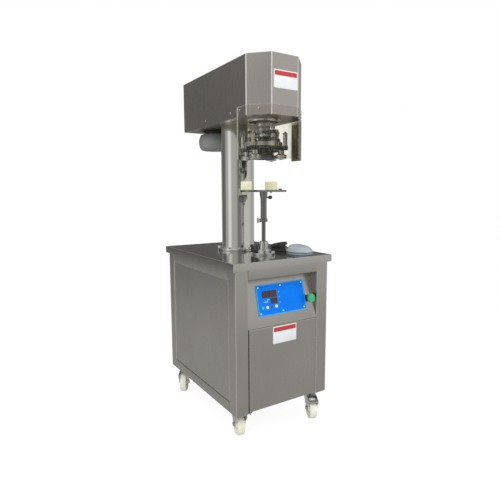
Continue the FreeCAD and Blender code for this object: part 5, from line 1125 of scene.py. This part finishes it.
# %% [markdown]
# ## Inside the cabinet
# The back of the cabinet holds the electrics. They are seen when the door is open, so the boxes get
# lids, screws and terminal rows.

# %% Electrics
DRIVE, CONTACTOR, TERMINALS = ((LEFT_FACE, (x, 0, 0)) for x in (45, 88, 120))
plate("drive_lid", (-123, 394), (-42, 536), 0.02, 1.6, 3, drive_grey, place=DRIVE)
plate("drive_window", (-100, 496), (-64, 516), 1.5, 2.4, 1.5, window_dark, place=DRIVE)
for index in range(4):
    stud("drive_key_%d" % index, -100 + 12 * index, 478, 4.0, 1.5, 3.4, black_plastic, "electrics", 0.3, DRIVE)
plate("contactor_lid", (-248, 442), (-162, 518), 0.02, 2.0, 2, black_plastic, place=CONTACTOR)
plate("contactor_bar", (-228, 470), (-182, 490), 1.9, 5.0, 2, drive_grey, place=CONTACTOR)
for index in range(9):
    low_y = -256 + 22.5 * index
    plate("terminal_%d" % index, (low_y, 312), (low_y + 18, 342), 0.02, 3.0, 1, drive_grey,
          place=TERMINALS, ease=0.3)
    stud("terminal_screw_%d" % index, low_y + 9, 327, 3.4, 3.0, 4.4, bright, "electrics", 0.3, TERMINALS)

# %% [markdown]
# ## Light, floor and what the steel reflects
# The lamps and the world stay at a plain level, so each colour renders about as it is written. The
# backdrop is full white only where the camera sees it, straight or through the guard, or where a
# reflection shows it. Steel shows its surroundings, so a large sphere carries the tones of a
# workshop, worked out from the direction, and only glossy rays see it.

# %% World, lamps and floor
LIT_BY_WORLD, SEEN_WHITE = 0.66, 1.0
FLOOR_GLOW, FLOOR_GLOW_SHARE = 1.1, 0.84

world = bpy.data.worlds.new("world")
bpy.context.scene.world = world
world.use_nodes = True
tree = world.node_tree
tree.nodes.clear()
sight = added(tree, "LightPath").outputs
either = joined(tree, "ADD", sight["Is Camera Ray"], sight["Is Glossy Ray"])
seen = joined(tree, "ADD", either, sight["Is Transmission Ray"])
seen.node.use_clamp = True
soft_white, full_white = (added(tree, "Background", Color=(1, 1, 1, 1), Strength=strength)
                          for strength in (LIT_BY_WORLD, SEEN_WHITE))
added(tree, "OutputWorld", Surface=shaders_mixed(tree, seen, soft_white, full_white))


def lamp(name, place, target, size, watts):
    """Rectangular lamp that faces a point and isn't mirrored in the steel."""
    light = bpy.data.lights.new(name, "AREA")
    light.shape = "RECTANGLE"
    light.size, light.size_y = size
    light.energy = watts
    made = shown(name, light)
    facing = np.array(target, float) - np.array(place, float)
    facing /= np.linalg.norm(facing)
    side = np.cross(facing, (0, 0, 1))
    side /= np.linalg.norm(side)
    made.matrix_world = aimed(place, side, np.cross(side, facing), -facing)
    made.visible_glossy = False


lamp("key_lamp", (-2.2, -2.4, 3.0), (0, 0, 0.9), (2.2, 2.2), 78)
lamp("fill_lamp", (2.8, -1.8, 1.8), (0, 0, 0.9), (2.0, 2.0), 26)

floor_mesh = bpy.data.meshes.new("floor")
floor_mesh.from_pydata([(-40, -40, 0), (40, -40, 0), (40, 40, 0), (-40, 40, 0)], [], [(0, 1, 2, 3)])
floor = shown("floor", floor_mesh)
floor_white, tree, ground = new_finish("floor_white")
ground.inputs["Base Color"].default_value = (0.80, 0.80, 0.79, 1)
ground.inputs["Roughness"].default_value = 0.9
sight = added(tree, "LightPath").outputs
share = joined(tree, "MULTIPLY", sight["Is Camera Ray"], FLOOR_GLOW_SHARE)
surface = shaders_mixed(tree, share, ground, added(tree, "Emission", Strength=FLOOR_GLOW))
fed(tree, tree.nodes["Material Output"].inputs["Surface"], surface)
floor_mesh.materials.append(floor_white)
floor.visible_glossy = False

# %% [markdown]
# The room around the machine is an even grey with five soft-edged walls: two dark ones, a window, a
# curtain and a pale wall. It blends into the floor below and the ceiling above. The column turns
# the walls into upright streaks.

# %% Surroundings
FLOOR_TONE, ROOM_TONE, CEILING_TONE = 0.40, 0.45, 0.85
ROOM_TINT = np.array([1.0, 0.985, 0.955])
SOFT_EDGE = 10.0
FLOOR_FROM, FLOOR_FULL, CEILING_FROM, CEILING_FULL = -5.0, -20.0, 25.0, 60.0
# each wall: where it is, its middle on the compass, its half width in degrees, its tone
WALLS = [("dark end behind the machine", 60, 20, 0.12), ("dark wall on the left", 118, 25, 0.15),
         ("window on the left", 180, 10, 0.90), ("dark curtain near the camera", 250, 15, 0.20),
         ("pale wall in front", 305, 30, 0.60)]
ROWS, COLUMNS, REACH = 96, 240, 9.0
tilt = np.radians(np.linspace(-89.0, 89.0, ROWS))[:, None]
compass = np.radians(np.linspace(0, 360, COLUMNS, endpoint=False))[None, :]
directions = np.stack([np.cos(tilt) * np.cos(compass), np.cos(tilt) * np.sin(compass),
                       np.sin(tilt) * np.ones_like(compass)], -1)
bearing, height_angle = np.degrees(compass), np.degrees(tilt)
wall_tone = np.full(bearing.shape, ROOM_TONE)
for _, middle, half_width, wall in WALLS:
    off = np.abs((bearing - middle + 180) % 360 - 180)
    share = np.clip((half_width + SOFT_EDGE - off) / (2 * SOFT_EDGE), 0, 1)
    share = share * share * (3 - 2 * share)
    wall_tone = wall_tone * (1 - share) + wall * share
low = np.clip((FLOOR_FROM - height_angle) / (FLOOR_FROM - FLOOR_FULL), 0, 1)
high = np.clip((height_angle - CEILING_FROM) / (CEILING_FULL - CEILING_FROM), 0, 1)
room = (wall_tone * (1 - low) + FLOOR_TONE * low) * (1 - high) + CEILING_TONE * high
tones = room[..., None] * ROOM_TINT
shell = bpy.data.meshes.new("surroundings")
shell.from_pydata((directions.reshape(-1, 3) * REACH + (0, 0, 0.9)).tolist(), [],
                  grid_faces(ROWS, COLUMNS, wrap_columns=True).tolist())
tone_attribute = shell.color_attributes.new("tone", "FLOAT_COLOR", "POINT")
tone_attribute.data.foreach_set("color", np.column_stack([tones.reshape(-1, 3), np.ones(ROWS * COLUMNS)]).ravel())
surroundings = shown("surroundings", shell)
tone_glow = bpy.data.materials.new("tone_glow")
tone_glow.use_nodes = True
tree = tone_glow.node_tree
tree.nodes.clear()
tone = added(tree, "VertexColor")
tone.layer_name = "tone"
glow = added(tree, "Emission", Color=tone.outputs["Color"])
added(tree, "OutputMaterial", Surface=glow.outputs[0])
shell.materials.append(tone_glow)
tone_glow.cycles.emission_sampling = "NONE"
surroundings.visible_camera = False
surroundings.visible_diffuse = False
surroundings.visible_shadow = False
surroundings.visible_transmission = False
surroundings.visible_volume_scatter = False
bpy.context.scene.view_settings.view_transform = "Standard"
print("studio ready")
